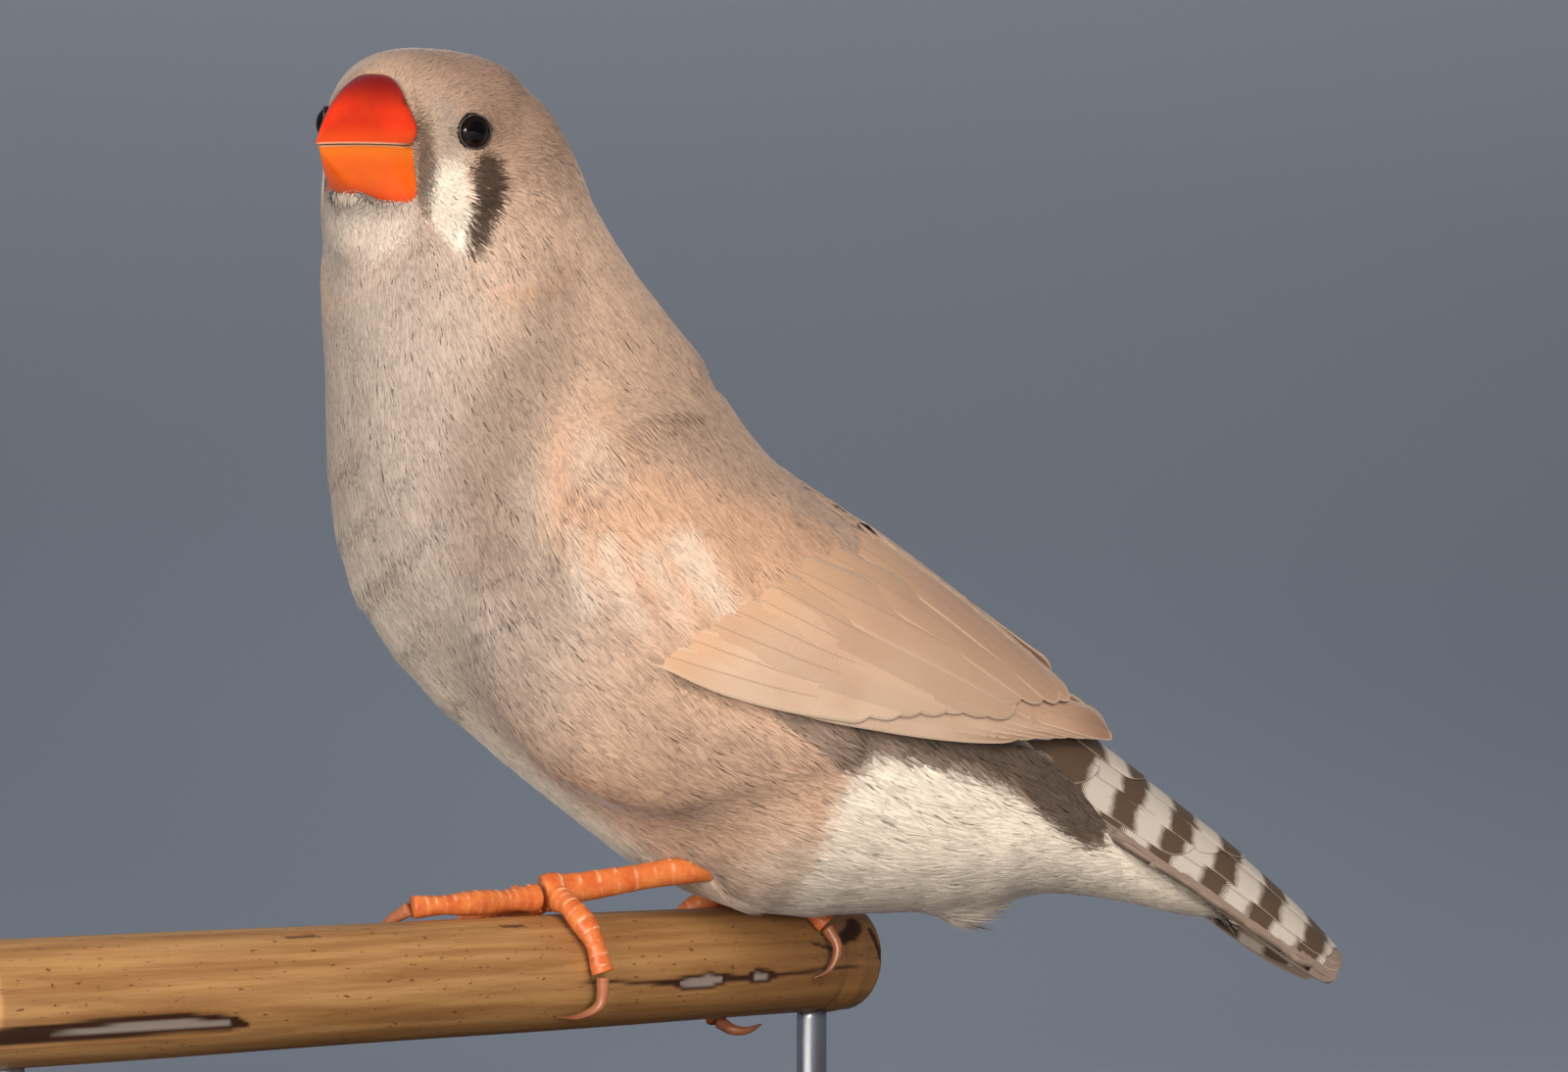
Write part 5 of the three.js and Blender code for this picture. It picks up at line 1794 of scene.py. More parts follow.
@dataclass(frozen=True)
class Bill:
    """The two halves of the bill."""

    tip: float = 13.1
    gape: float = -1.5
    droop: float = 0.5
    tip_half: float = 0.12
    tip_depth: float = 0.15
    gap: float = 0.06
    upper: tuple = (4.4, 3.9, 1.25, 5.45, 1.7, 0.75, 0.0)
    lower: tuple = (3.9, 4.15, 1.0, 4.95, 2.2, 1.0, 0.4)
    sections: tuple = (
        ((0.9, 0), (1, 0.15), (1, 0.28), (0.87, 0.45), (0.72, 0.63), (0.6, 0.78), (0.45, 0.9), (0.25, 0.98),
         (0, 1)),
        ((1, 0), (0.85, 0.15), (0.71, 0.3), (0.64, 0.45), (0.61, 0.6), (0.54, 0.76), (0.4, 0.88),
         (0.22, 0.97), (0, 1)),
        ((0.86, 0), (0.88, 0.2), (0.92, 0.4), (0.97, 0.6), (1, 0.78), (0.97, 0.92), (0.82, 0.99), (0.5, 1),
         (0, 1)),
        ((1, 0), (0.97, 0.15), (0.93, 0.3), (0.88, 0.48), (0.82, 0.65), (0.74, 0.8), (0.58, 0.92),
         (0.3, 0.98), (0, 1)),
    )
    nostril: tuple = (4.7, 3.0, 2.0)
    nostril_edge: tuple[float, float] = (0.3, 0.5)
    full_height: float = 5.2

    def section(self, up: int, t: Array) -> tuple[Array, Array]:
        """Shares of the half width and of the depth round each section, from the left to the right.

        Args:
            up: 1 for the upper half and -1 for the lower one.
            t: Shares of the way to the tip.

        Returns:
            Shares across and shares up.
        """
        turn = np.linspace(0, 1, 22)
        rows = self.sections[:2] if up > 0 else self.sections[2:]
        curves = (Curve(np.array([(across, high, 0.0) for across, high in row])) for row in rows)
        first, last = (curve.at(turn) for curve in curves)
        share = smoothstep(t, 0.0, 0.35)
        across, high = (first[:, i][None] * (1 - share) + last[:, i][None] * share for i in range(2))
        return np.hstack([across, -across[:, -2::-1]]), np.clip(np.hstack([high, high[:, -2::-1]]), 0, 1)

    def build(self, up: int, material: Material) -> Piece:
        """Makes one half: up is 1 for the upper mandible and -1 for the lower one.

        Args:
            up: 1 for the upper half and -1 for the lower one.
            material: Its finish.

        Returns:
            The half as one piece.
        """
        base, half, narrowing, depth, taper, bluntness, short = self.upper if up > 0 else self.lower
        t = np.sin(np.linspace(0, math.pi / 2, 60))[:, None]
        ahead = base + (self.tip - short - base) * t
        width = np.maximum(half * (1 - t**narrowing), self.tip_half)
        height = np.maximum(depth * np.clip(1 - t**taper, 0, 1) ** bluntness, self.tip_depth)
        line = self.gape - self.droop * t**2 + up * self.gap / 2
        wide, rise = self.section(up, t)
        arch = [ahead + 0 * wide, wide * width, line + up * height * rise]
        inner = np.linspace(-0.9, 0.9, 9)[None]
        floor = [ahead + 0 * inner, inner * width, line + 0 * inner + up * 0.05]
        points = np.concatenate([np.stack(arch, -1), np.stack(floor, -1)], 1)
        form = tube(HEAD.out(points.reshape(-1, 3)).reshape(points.shape))
        above = np.concatenate([height * rise, 0 * inner + 0 * t], 1)
        nose = np.array(self.nostril)
        gaps = ((points - nose * [1, side, 1]) * [1, 1, 1.4] for side in (1, -1))
        gap = np.minimum(*(np.linalg.norm(gap, axis=-1) for gap in gaps))
        values = {
            # edge is the height over the mouth line, which places the painted highlight along it.
            "high": (above / self.full_height, 0.5), "edge": (above, 0.5),
            "nostril": (1 - smoothstep(gap, *self.nostril_edge), 0.0),
        }
        form.values = {key: np.append(value.ravel(), [end, end]) for key, (value, end) in values.items()}
        name = "bill_upper" if up > 0 else "bill_lower"
        made = form.outward().build(f"{name}_horn", material)
        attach(made, "root")
        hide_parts(name)
        return made


@dataclass(frozen=True)
class EyeFinish(Finish):
    """The finish of the wet, nearly black eye."""

    def build(self) -> Material:
        """Makes the material.

        Returns:
            The material.
        """
        material, graph, shader = self.open()
        ring = graph.ease(graph.carried("off"), 0.5, 0.62)
        streak = graph.noise(graph.place(), 3000.0, 3.0)
        iris = graph.mix(streak, "120906", "1c0e08")
        body = graph.mix(ring, "040303", iris)
        body = graph.mix(graph.ease(graph.carried("off"), 0.82, 0.95), body, "060404")
        graph.put(shader.inputs["Base Color"], body)
        return material


@dataclass(frozen=True)
class LidFinish(Finish):
    """The finish of the bare, beaded lids."""

    def build(self) -> Material:
        """Makes the material.

        Returns:
            The material.
        """
        material, graph, shader = self.open()
        beads = graph.node("TexVoronoi", {"Vector": graph.place(), "Scale": 3600.0}).outputs["Distance"]
        body = graph.mix(graph.ease(beads, 0.1, 0.6), "5f5a5b", "3b3534")
        body = graph.mix(graph.carried("upper"), body, "2e2624")
        graph.put(shader.inputs["Base Color"], body)
        graph.put(shader.inputs["Normal"], graph.bump(beads, 0.5, 0.05 * MM))
        return material


@dataclass(frozen=True)
class EyeSet:
    """One eyeball and the ring of its lids."""

    side: int
    lid_radius: float = 1.37
    lid_thickness: float = 0.085
    lid_reach: float = 1.66
    lid_points: tuple[int, int] = (72, 12)

    def basis(self) -> tuple[Array, Array, Array]:
        """The way that the eye looks, and two ways across it: up and ahead.

        Returns:
            Three unit vectors.
        """
        axis = EYES.axis(self.side)
        up = HEAD.matrix() @ np.array([0, 0, 1.0])
        up = unit(up - axis * (up @ axis))
        return axis, up, np.cross(up, axis)

    def build(self, ball: Material, lid: Material) -> list[Piece]:
        """Makes the eyeball and its lids.

        Args:
            ball: The eye's finish.
            lid: The lids' finish.

        Returns:
            The eyeball and the lids.
        """
        axis, up, ahead = self.basis()
        centre = EYES.centre(self.side)
        name = "left" if self.side > 0 else "right"
        turn = full_turn(48)[None, :, None]
        off = np.linspace(1.5, 0.03, 26)[:, None, None]
        ring = np.cos(turn) * up + np.sin(turn) * ahead
        dome = centre + EYES.radius * (np.sin(off) * ring + np.cos(off) * axis)
        form = tube(dome)
        share = np.broadcast_to(np.sin(off[..., 0]), dome.shape[:2])
        form.values = {"off": np.append(share.ravel(), [1.0, 0.0])}
        eye = form.outward().build(f"eyeball_{name}", ball)
        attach(eye, "root")
        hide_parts(f"eye_{name}")
        count, sides = self.lid_points
        turn = full_turn(count)[:, None, None]
        small = full_turn(sides)[None, :, None]
        ring = np.cos(turn) * up + np.sin(turn) * ahead
        out = math.sqrt(self.lid_reach**2 - self.lid_radius**2)
        wide = self.lid_radius * (1 - 0.05 * np.cos(2 * turn))
        middle = centre + axis * out + ring * wide
        rim = middle + self.lid_thickness * (np.cos(small) * ring + np.sin(small) * axis)
        faces = grid_faces(count + 1, sides, around=True) % (count * sides)
        lids = Form(rim.reshape(-1, 3), [faces])
        upper = smoothstep(np.cos(turn[:, 0, 0]), 0.3, 0.9)[:, None]
        upper = upper * smoothstep(-np.cos(small[0, :, 0]), -0.2, 0.6)[None]
        lids.values = {"upper": upper.ravel() * 0.85}
        made = lids.build(f"lids_{name}", lid)
        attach(made, "root")
        return [eye, made]


@dataclass(frozen=True)
class PerchLine:
    """The perch's axis, and places on and over its bark."""

    radius: float = 4.5
    length: float = 90.0
    heading: float = math.radians(36.5)
    middle: tuple = (-20.6, -4.2)

    def at(self, station: Array, angle: Array, height: Array) -> Array:
        """Points from places along the axis, turns from its top and heights over the bark.

        Args:
            station: Millimetres along from the middle.
            angle: Degrees from the top towards the near side.
            height: Millimetres over the bark.

        Returns:
            Points in the part's frame.
        """
        places = (np.asarray(place, float) for place in (station, angle, height))
        station, angle, height = np.broadcast_arrays(*places)
        along = np.array([math.cos(self.heading), math.sin(self.heading), 0])
        near = np.array([math.sin(self.heading), -math.cos(self.heading), 0])
        turn, reach = np.radians(angle)[..., None], (self.radius + height)[..., None]
        middle = np.array([*self.middle, PERCH_AXIS])
        up = np.array([0, 0, 1])
        return middle + along * station[..., None] + near * reach * np.sin(turn) + up * reach * np.cos(turn)


PERCH = PerchLine()


@dataclass(frozen=True)
class ScaleFinish(Finish):
    """The finish of the legs: scaled skin, paler and flaking at each scale's edge."""

    skin: str = "dc7f40"
    deep: str = "c9602f"
    flake: str = "f3c09a"

    def build(self) -> Material:
        """Makes the material.

        Returns:
            The material.
        """
        material, graph, shader = self.open()
        vector = graph.place()
        grain = Effect.use(graph, Effect.mottle(), {
            "Vector": vector, "Scale": 700.0, "Contrast": 0.9, "One": self.deep, "Two": self.skin,
        })
        flakes = graph.ease(graph.noise(vector, 1500.0), 0.4, 0.6)
        flaked = graph.math("MULTIPLY", graph.carried("rim"), flakes)
        body = graph.mix(flaked, grain["Colour"], self.flake)
        cells = graph.node("TexVoronoi", {"Vector": vector, "Scale": 1900.0}).outputs["Distance"]
        graph.put(shader.inputs["Base Color"], body)
        graph.put(shader.inputs["Normal"], graph.bump(cells, 0.4, 0.06 * MM))
        return material


@dataclass(frozen=True)
class ClawFinish(Finish):
    """The finish of the claws: horn that darkens to the tip."""

    def build(self) -> Material:
        """Makes the material.

        Returns:
            The material.
        """
        material, graph, shader = self.open()
        streak = graph.noise(graph.place(), 1200.0, 3.0)
        body = graph.mix(streak, "c07a4e", "94563a")
        body = graph.mix(graph.ease(graph.carried("share"), 0.1, 1.0, 0.0, 0.75), body, "5d3626")
        graph.put(shader.inputs["Base Color"], body)
        return material


def limb(path: Array, radii: Array, sides: int, scales: float, up: Array, flat: float = 1.0) -> Form:
    """A scaled bar along a path.

    Args:
        path: Points through the limb.
        radii: Its radius at each.
        sides: Points round it.
        scales: How many scales cross it.
        up: The way that its top faces.
        flat: Its depth across, as a share of its height.

    Returns:
        The form, which carries how near each point is to a scale's edge.
    """
    ahead = unit(np.gradient(path, axis=0))
    across = unit(np.cross(ahead, up))
    over = np.cross(across, ahead)
    turn = full_turn(sides)[None]
    t = np.linspace(0, 1, len(path))[:, None]
    phase = (t * scales) % 1.0
    top = np.clip(np.sin(turn), 0, 1) ** 0.5
    plate = 0.07 * (phase - 0.5) * (0.35 + 0.65 * top)
    plate = plate - 0.05 * np.exp(-(((phase - 0.97) / 0.06) ** 2)) * top
    reach = radii[:, None] * (1 + plate)
    rings = path[:, None] + across[:, None] * (np.cos(turn) * reach * flat)[..., None]
    rings = rings + over[:, None] * (np.sin(turn) * reach)[..., None]
    form = tube(rings)
    rim = np.exp(-(((phase - 0.9) / 0.08) ** 2)) * (0.3 + 0.7 * top)
    form.values = {
        "rim": np.append(rim.ravel(), [0.0, 0.0]),
        "share": np.append(np.repeat(t.ravel(), sides), [0, 1]),
    }
    return form.outward()


@dataclass(frozen=True)
class Leg:
    """One leg: shank, toes and claws, gripping the perch."""

    name: str
    station: float
    heel: tuple
    toes: tuple
    claws: tuple
    hub_height: float = 1.75
    shank: float = 1.1
    gap: float = 0.12

    def smooth(self, places: tuple, count: int) -> Array:
        """Points along a smooth curve through places on the perch.

        Args:
            places: Station, angle and height of each point.
            count: How many points to give.

        Returns:
            The points, in the part's frame.
        """
        station, angle, height = np.array(places, float).T
        stations = PERCH.at(self.station + station, angle, height + self.gap)
        return Curve(stations).at(np.linspace(0, 1, count))

    def build(self, scale: Material, horn: Material) -> list[Piece]:
        """Makes the leg and its claws.

        Args:
            scale: The finish of the skin.
            horn: The finish of the claws.

        Returns:
            The leg and the claws.
        """
        foot = PERCH.at(self.station, 0, self.hub_height)
        heel = bird([self.heel])[0]
        t = np.linspace(-0.03, 1, 150)[:, None]
        path = foot + (heel - foot) * t
        spread = 1 + 0.4 * np.exp(-((t[:, 0] / 0.09) ** 2)) + 0.06 * np.sin(9 * t[:, 0]) + 0.2 * t[:, 0] ** 6
        length = np.linalg.norm(heel - foot)
        forms = [limb(path, self.shank * spread, 24, length / 1.5, np.array([0.2, 0, 1.0]), 0.86)]
        along = np.array([math.cos(PERCH.heading), math.sin(PERCH.heading), 0.0])
        for places in self.toes:
            way = self.smooth(places, 90)
            t = np.linspace(0, 1, 90)
            radii = (1.0 - 0.2 * t) * (1 + 0.11 * np.cos(4 * math.pi * t))
            length = np.linalg.norm(np.diff(way, axis=0), axis=1).sum()
            middle = way.mean(0) - np.array([*PERCH.middle, PERCH_AXIS])
            outward = unit(middle - along * (middle @ along))
            forms.append(limb(way, radii, 18, length / 0.85, outward))
        leg = Form.joined(forms).build(f"leg_{self.name}", scale)
        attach(leg, "root")
        toes = [f"toe_{kind}_{self.name}" for kind in ("hind", "inner", "middle", "outer")]
        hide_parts(f"shank_{self.name}", *toes)
        forms = []
        for places in self.claws:
            way = self.smooth(places, 40)
            t = np.linspace(0, 1, 40)
            middle = way.mean(0) - np.array([*PERCH.middle, PERCH_AXIS])
            outward = unit(middle - along * (middle @ along))
            forms.append(limb(way, 0.55 * (1 - t) ** 0.7 + 0.05, 14, 0.0, outward, 0.72))
        claws = Form.joined(forms).build(f"claws_{self.name}", horn)
        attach(claws, "root")
        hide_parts(*[name.replace("toe", "claw") for name in toes])
        return [leg, claws]


LEGS = (
    Leg(
        "left", 10.9, (3.2, -4.8, 8.5),
        (
            ((0.2, 8, 1.3), (-0.2, 30, 1.2), (0, 60, 1.1), (0.4, 88, 1.1)),
            ((0.4, -14, 1.2), (0.3, -45, 1.15), (-0.6, -78, 1.1), (-1.8, -106, 1.1)),
            ((-1.2, -16, 1.5), (-3.4, -38, 1.3), (-6, -72, 1.15), (-8.6, -112, 1.1)),
            ((-1.6, 2, 1.3), (-5, -2, 1.1), (-9.6, -6, 1), (-12.6, -18, 1.1)),
        ),
        (
            ((0.4, 92, 1.1), (0.2, 112, 1.4), (-1.1, 125, 0.9), (-2.7, 130, 0.35)),
            ((-1.9, -110, 1.1), (-2.2, -128, 1.3), (-2.4, -142, 0.4)),
            ((-8.9, -116, 1.1), (-9.8, -134, 1.3), (-10.4, -148, 0.4)),
            ((-12.7, -22, 1.1), (-13.1, -50, 1.3), (-13.1, -72, 0.4)),
        ),
    ),
    Leg(
        "right", 35.2, (17.5, 6.0, 13.5),
        (
            ((0.4, 8, 1.3), (0.8, 22, 1.2), (1.6, 42, 1.1), (2.4, 58, 1.1)),
            ((-1.2, -6, 1.2), (-3.2, -26, 1.1), (-5, -52, 1.1), (-6.4, -80, 1.1)),
            ((-0.4, -18, 1.4), (-0.9, -62, 1.15), (-1.6, -106, 1.1), (-2.4, -148, 1.1)),
            ((1, -12, 1.3), (1.8, -42, 1.15), (2.8, -76, 1.1), (3.6, -108, 1.1)),
        ),
        (
            ((2.4, 62, 1.1), (2.5, 80, 1.5), (1.9, 96, 1.1), (0.9, 106, 0.35)),
            ((-6.6, -84, 1.1), (-7.4, -102, 1.3), (-7.8, -116, 0.4)),
            ((-2.45, -152, 1.1), (-2.2, -166, 1.2), (-1.5, -176, 1.1), (-0.6, -184, 0.6)),
            ((3.7, -112, 1.1), (4.2, -130, 1.3), (4.4, -144, 0.4)),
        ),
    ),
)


@dataclass(frozen=True)
class CaneFinish(Finish):
    """The finish of the cane: long grain, pores, cracks, worn grey spots, and painted shade towards the end
    under the bird.
    """

    light: str = "b98a55"
    dark: str = "94663a"
    # Colour of the painted shade under the bird.
    shaded: str = "7d5530"

    def build(self) -> Material:
        """Makes the material.

        Returns:
            The material.
        """
        material, graph, shader = self.open()
        along, around = graph.carried("station"), graph.carried("bark")
        slow = graph.math("MULTIPLY", along, 0.05)
        vector = graph.node("CombineXYZ", {0: slow, 1: around, 2: 0.0}).outputs[0]
        fine = graph.noise(vector, 7.0, 4.0, 0.65)
        wide = graph.noise(vector, 0.9, 3.0)
        body = graph.mix(graph.ease(wide, 0.3, 0.7), self.dark, self.light)
        body = graph.mix(graph.ease(fine, 0.52, 0.75, 0.0, 0.35), body, "6e4a2a")
        body = graph.mix(graph.ease(fine, 0.25, 0.42, 0.35, 0.0), body, "d3a974")
        quick = graph.math("MULTIPLY", along, 0.35)
        pores = graph.node("CombineXYZ", {0: quick, 1: around, 2: 0.0}).outputs[0]
        speck = graph.noise(pores, 2.6, 3.0, 0.6)
        # Painted shade: the cane darkens towards the end that lies under the bird.
        body = graph.mix(graph.ease(along, 0.0, 42.0, 0.0, 0.55), body, self.shaded)
        body = graph.mix(graph.ease(speck, 0.63, 0.68, 0.0, 0.75), body, "54281a")
        body = graph.mix(graph.carried("crack"), body, "3a2114")
        body = graph.mix(graph.carried("worn"), body, "958579")
        body = graph.mix(graph.carried("cut"), body, "8a6840")
        graph.put(shader.inputs["Base Color"], body)
        rough = graph.ease(fine, 0.3, 0.8, self.roughness - 0.08, self.roughness + 0.15)
        graph.put(shader.inputs["Roughness"], rough)
        graph.put(shader.inputs["Normal"], graph.bump(fine, 0.25, 0.08 * MM))
        return material


@dataclass(frozen=True)
class Perch:
    """The cut length of cane."""

    rings: int = 420
    sides: int = 110
    cracks: tuple = (
        ((8, 96, 0.02), (13, 98, 0.1), (17.4, 102, 0.14), (20.4, 103, 0.3)),
        ((20.4, 103, 0.3), (21.8, 105, 0.6), (24.6, 104, 0.75), (27.0, 102, 0.3), (28.6, 103, 0.25),
         (30.0, 102, 0.68), (31.2, 103, 0.55), (32.4, 102, 0.2), (42.4, 97, 0.06)),
        ((42.3, 54, 0.8), (41.6, 61, 0.7), (40.2, 67, 0.5)),
        ((-45, 117, 0.7), (-36.2, 115, 0.85), (-28.4, 114, 0.8), (-24.0, 117, 0.6), (-22.6, 120, 0.2)),
        ((3.8, 28, 0.12), (5.2, 30, 0.2), (6.1, 29, 0.1)),
        ((-17.6, 29, 0.1), (-14.8, 28, 0.14)),
        ((36.5, 70, 0.1), (38.8, 78, 0.16)),
        ((44.0, 60, 0.3), (44.6, 90, 0.2)),
    )
    lip: float = 0.5
    per_degree: float = 0.0785
    worn: tuple = (
        ((21.5, 105, 0.22), (24.4, 104, 0.5), (25.8, 103, 0.2)),
        ((29.9, 102, 0.3), (31.0, 103, 0.25)),
        ((-40, 116.5, 0.08), (-34, 115, 0.35), (-28.6, 114.5, 0.35), (-24.4, 117, 0.22)),
    )

    def build(self, material: Material) -> Piece:
        """Makes the perch.

        Args:
            material: The cane's finish.

        Returns:
            The perch.
        """
        half = PERCH.length / 2
        station = np.linspace(-half, half, self.rings)[:, None]
        angle = np.linspace(0, 360, self.sides, endpoint=False)[None]
        end = half - np.abs(station)
        lip = -self.lip * (1 - np.sqrt(np.clip(1 - (1 - np.clip(end / self.lip, 0, 1)) ** 2, 0, 1)))
        from_end = station - half
        node = 0.12 * np.exp(-(((from_end + 2.4) / 0.7) ** 2))
        node = node - 0.1 * np.exp(-(((from_end + 4.2) / 0.35) ** 2))
        height = lip + node + 0.03 * np.sin(station / 7 + np.radians(angle) * 2)
        crack = self.marks(station, angle, self.cracks)
        worn = self.marks(station, angle, self.worn)
        points = PERCH.at(station, angle, height - 0.12 * crack - 0.05 * worn)
        shape = points.shape[:2]
        rings = [points]
        for share in (0.85, 0.5):
            for side in (0, -1):
                inner = PERCH.at(station[side], angle[0], height[side] - (1 - share) * PERCH.radius)
                rings.insert(0 if side == 0 else len(rings), inner[None])
        form = tube(np.concatenate(rings))
        bark = np.radians(angle) * PERCH.radius
        values = {
            "station": np.broadcast_to(station, shape), "bark": np.broadcast_to(bark, shape),
            "crack": crack, "worn": worn, "cut": np.zeros(shape),
        }
        pad = {"station": 0.0, "bark": 0.0, "crack": 0.0, "worn": 0.0, "cut": 1.0}
        form.values = {}
        for key, value in values.items():
            ends = np.full((2, self.sides), pad[key])
            if key == "station":
                ends[:] = np.array([[0.85], [0.5]]) * 30
            if key == "bark":
                ends[:] = np.broadcast_to(bark, (2, self.sides))
            whole = np.concatenate([ends[::-1], value, ends])
            form.values[key] = np.append(whole.ravel(), [pad[key], pad[key]])
        made = form.outward().build("perch_cane", material)
        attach(made, "root")
        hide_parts("perch")
        return made

    def marks(self, station: Array, angle: Array, paths: tuple) -> Array:
        """How strongly marks along paths of (station, angle, half width) show, from 0 to 1.

        Args:
            station: Millimetres along from the middle.
            angle: Degrees from the top towards the near side.
            paths: The marks' paths.

        Returns:
            One share for each place.
        """
        best = np.zeros(np.broadcast(station, angle).shape)
        for path in paths:
            for one, two in zip(path[:-1], path[1:]):
                span = np.array([two[0] - one[0], (two[1] - one[1]) * self.per_degree])
                ahead, beside = station - one[0], (angle - one[1]) * self.per_degree
                t = np.clip((ahead * span[0] + beside * span[1]) / max(span @ span, 1e-9), 0, 1)
                gap = np.hypot(ahead - t * span[0], beside - t * span[1])
                wide = one[2] + (two[2] - one[2]) * t
                best = np.maximum(best, 1 - smoothstep(gap - wide, -0.08, 0.1))
        return best


@dataclass(frozen=True)
class WoodFinish(Finish):
    """The finish of the stand's base: oiled dark wood with long grain."""

    def build(self) -> Material:
        """Makes the material.

        Returns:
            The material.
        """
        material, graph, shader = self.open()
        grain = Effect.use(graph, Effect.mottle(), {
            "Vector": graph.place((12, 160, 60)), "Scale": 4.0, "Contrast": 0.9,
            "One": "2f1d14", "Two": "5d4030",
        })
        pores = graph.noise(graph.place((60, 1500, 500)), 2.0, 3.0)
        body = graph.mix(graph.ease(pores, 0.58, 0.66, 0.0, 0.7), grain["Colour"], "1d120c")
        graph.put(shader.inputs["Base Color"], body)
        rough = graph.ease(grain["Mask"], 0.0, 1.0, self.roughness + 0.1, self.roughness - 0.05)
        graph.put(shader.inputs["Roughness"], rough)
        graph.put(shader.inputs["Normal"], graph.bump(pores, 0.2, 0.05 * MM))
        return material


@dataclass(frozen=True)
class SteelFinish(Finish):
    """The finish of the rods: drawn steel with fine long scratches."""

    def build(self) -> Material:
        """Makes the material.

        Returns:
            The material.
        """
        material, graph, shader = self.open()
        shader.inputs["Metallic"].default_value = 1.0
        shader.inputs["Anisotropic"].default_value = 0.5
        scratch = graph.noise(graph.place((6000, 6000, 120)), 1.0, 3.0)
        body = graph.mix(scratch, "9d9ea1", "c4c5c8")
        graph.put(shader.inputs["Base Color"], body)
        graph.put(shader.inputs["Roughness"], graph.ease(scratch, 0.2, 0.8, 0.24, 0.42))
        return material


@dataclass(frozen=True)
class Stand:
    """The base and the two rods that hold the perch."""

    length: float = 124.0
    width: float = 76.0
    thickness: float = 5.0
    corner: float = 9.0
    bevel: float = 1.0
    rod_radius: float = 1.25
    rod_reach: float = 41.0
    rod_sides: int = 40
    bite: tuple[float, float] = (0.3, 0.6)

    def outline(self, inset: float) -> Array:
        """The base's rounded outline, drawn in by an inset.

        Args:
            inset: How far it is drawn in, in millimetres.

        Returns:
            Points round the base.
        """
        radius = self.corner - inset
        a, b = self.length / 2 - self.corner, self.width / 2 - self.corner
        points = []
        for k, (sx, sy) in enumerate(((1, 1), (-1, 1), (-1, -1), (1, -1))):
            turn = np.linspace(0, math.pi / 2, 15) + k * math.pi / 2
            points.append(np.stack([sx * a + radius * np.cos(turn), sy * b + radius * np.sin(turn)], -1))
        return np.concatenate(points)

    def build(self, wood: Material, steel: Material) -> list[Piece]:
        """Makes the base and the rods.

        Args:
            wood: The base's finish.
            steel: The rods' finish.

        Returns:
            The base and the rods.
        """
        turn = np.linspace(0, math.pi / 2, 8)
        profile = [(self.bevel * (1 - math.sin(a)), self.bevel * (1 - math.cos(a))) for a in turn]
        rings = profile + [(inset, self.thickness - z) for inset, z in reversed(profile)]
        loops = [np.insert(self.outline(inset), 2, z, axis=1) for inset, z in rings]
        base = tube(np.array(loops)).outward().build("base", wood)
        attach(base, "root")
        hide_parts("stand_base")
        made = [base]
        for name, sign in (("front", -1), ("rear", 1)):
            foot = PERCH.at(sign * self.rod_reach, 0, 0)
            turn = full_turn(self.rod_sides)
            top = PERCH_AXIS - PERCH.radius + self.bite[1]
            heights = [self.thickness - self.bite[0], *np.linspace(self.thickness, top, 12)]
            circle = np.stack([np.cos(turn), np.sin(turn)], -1) * self.rod_radius + foot[:2]
            rod = tube(np.array([np.column_stack([circle, np.full(self.rod_sides, z)]) for z in heights]))
            piece = rod.outward().build(f"rod_{name}", steel)
            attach(piece, "root")
            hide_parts(f"stand_rod_{name}")
            made.append(piece)
        return made


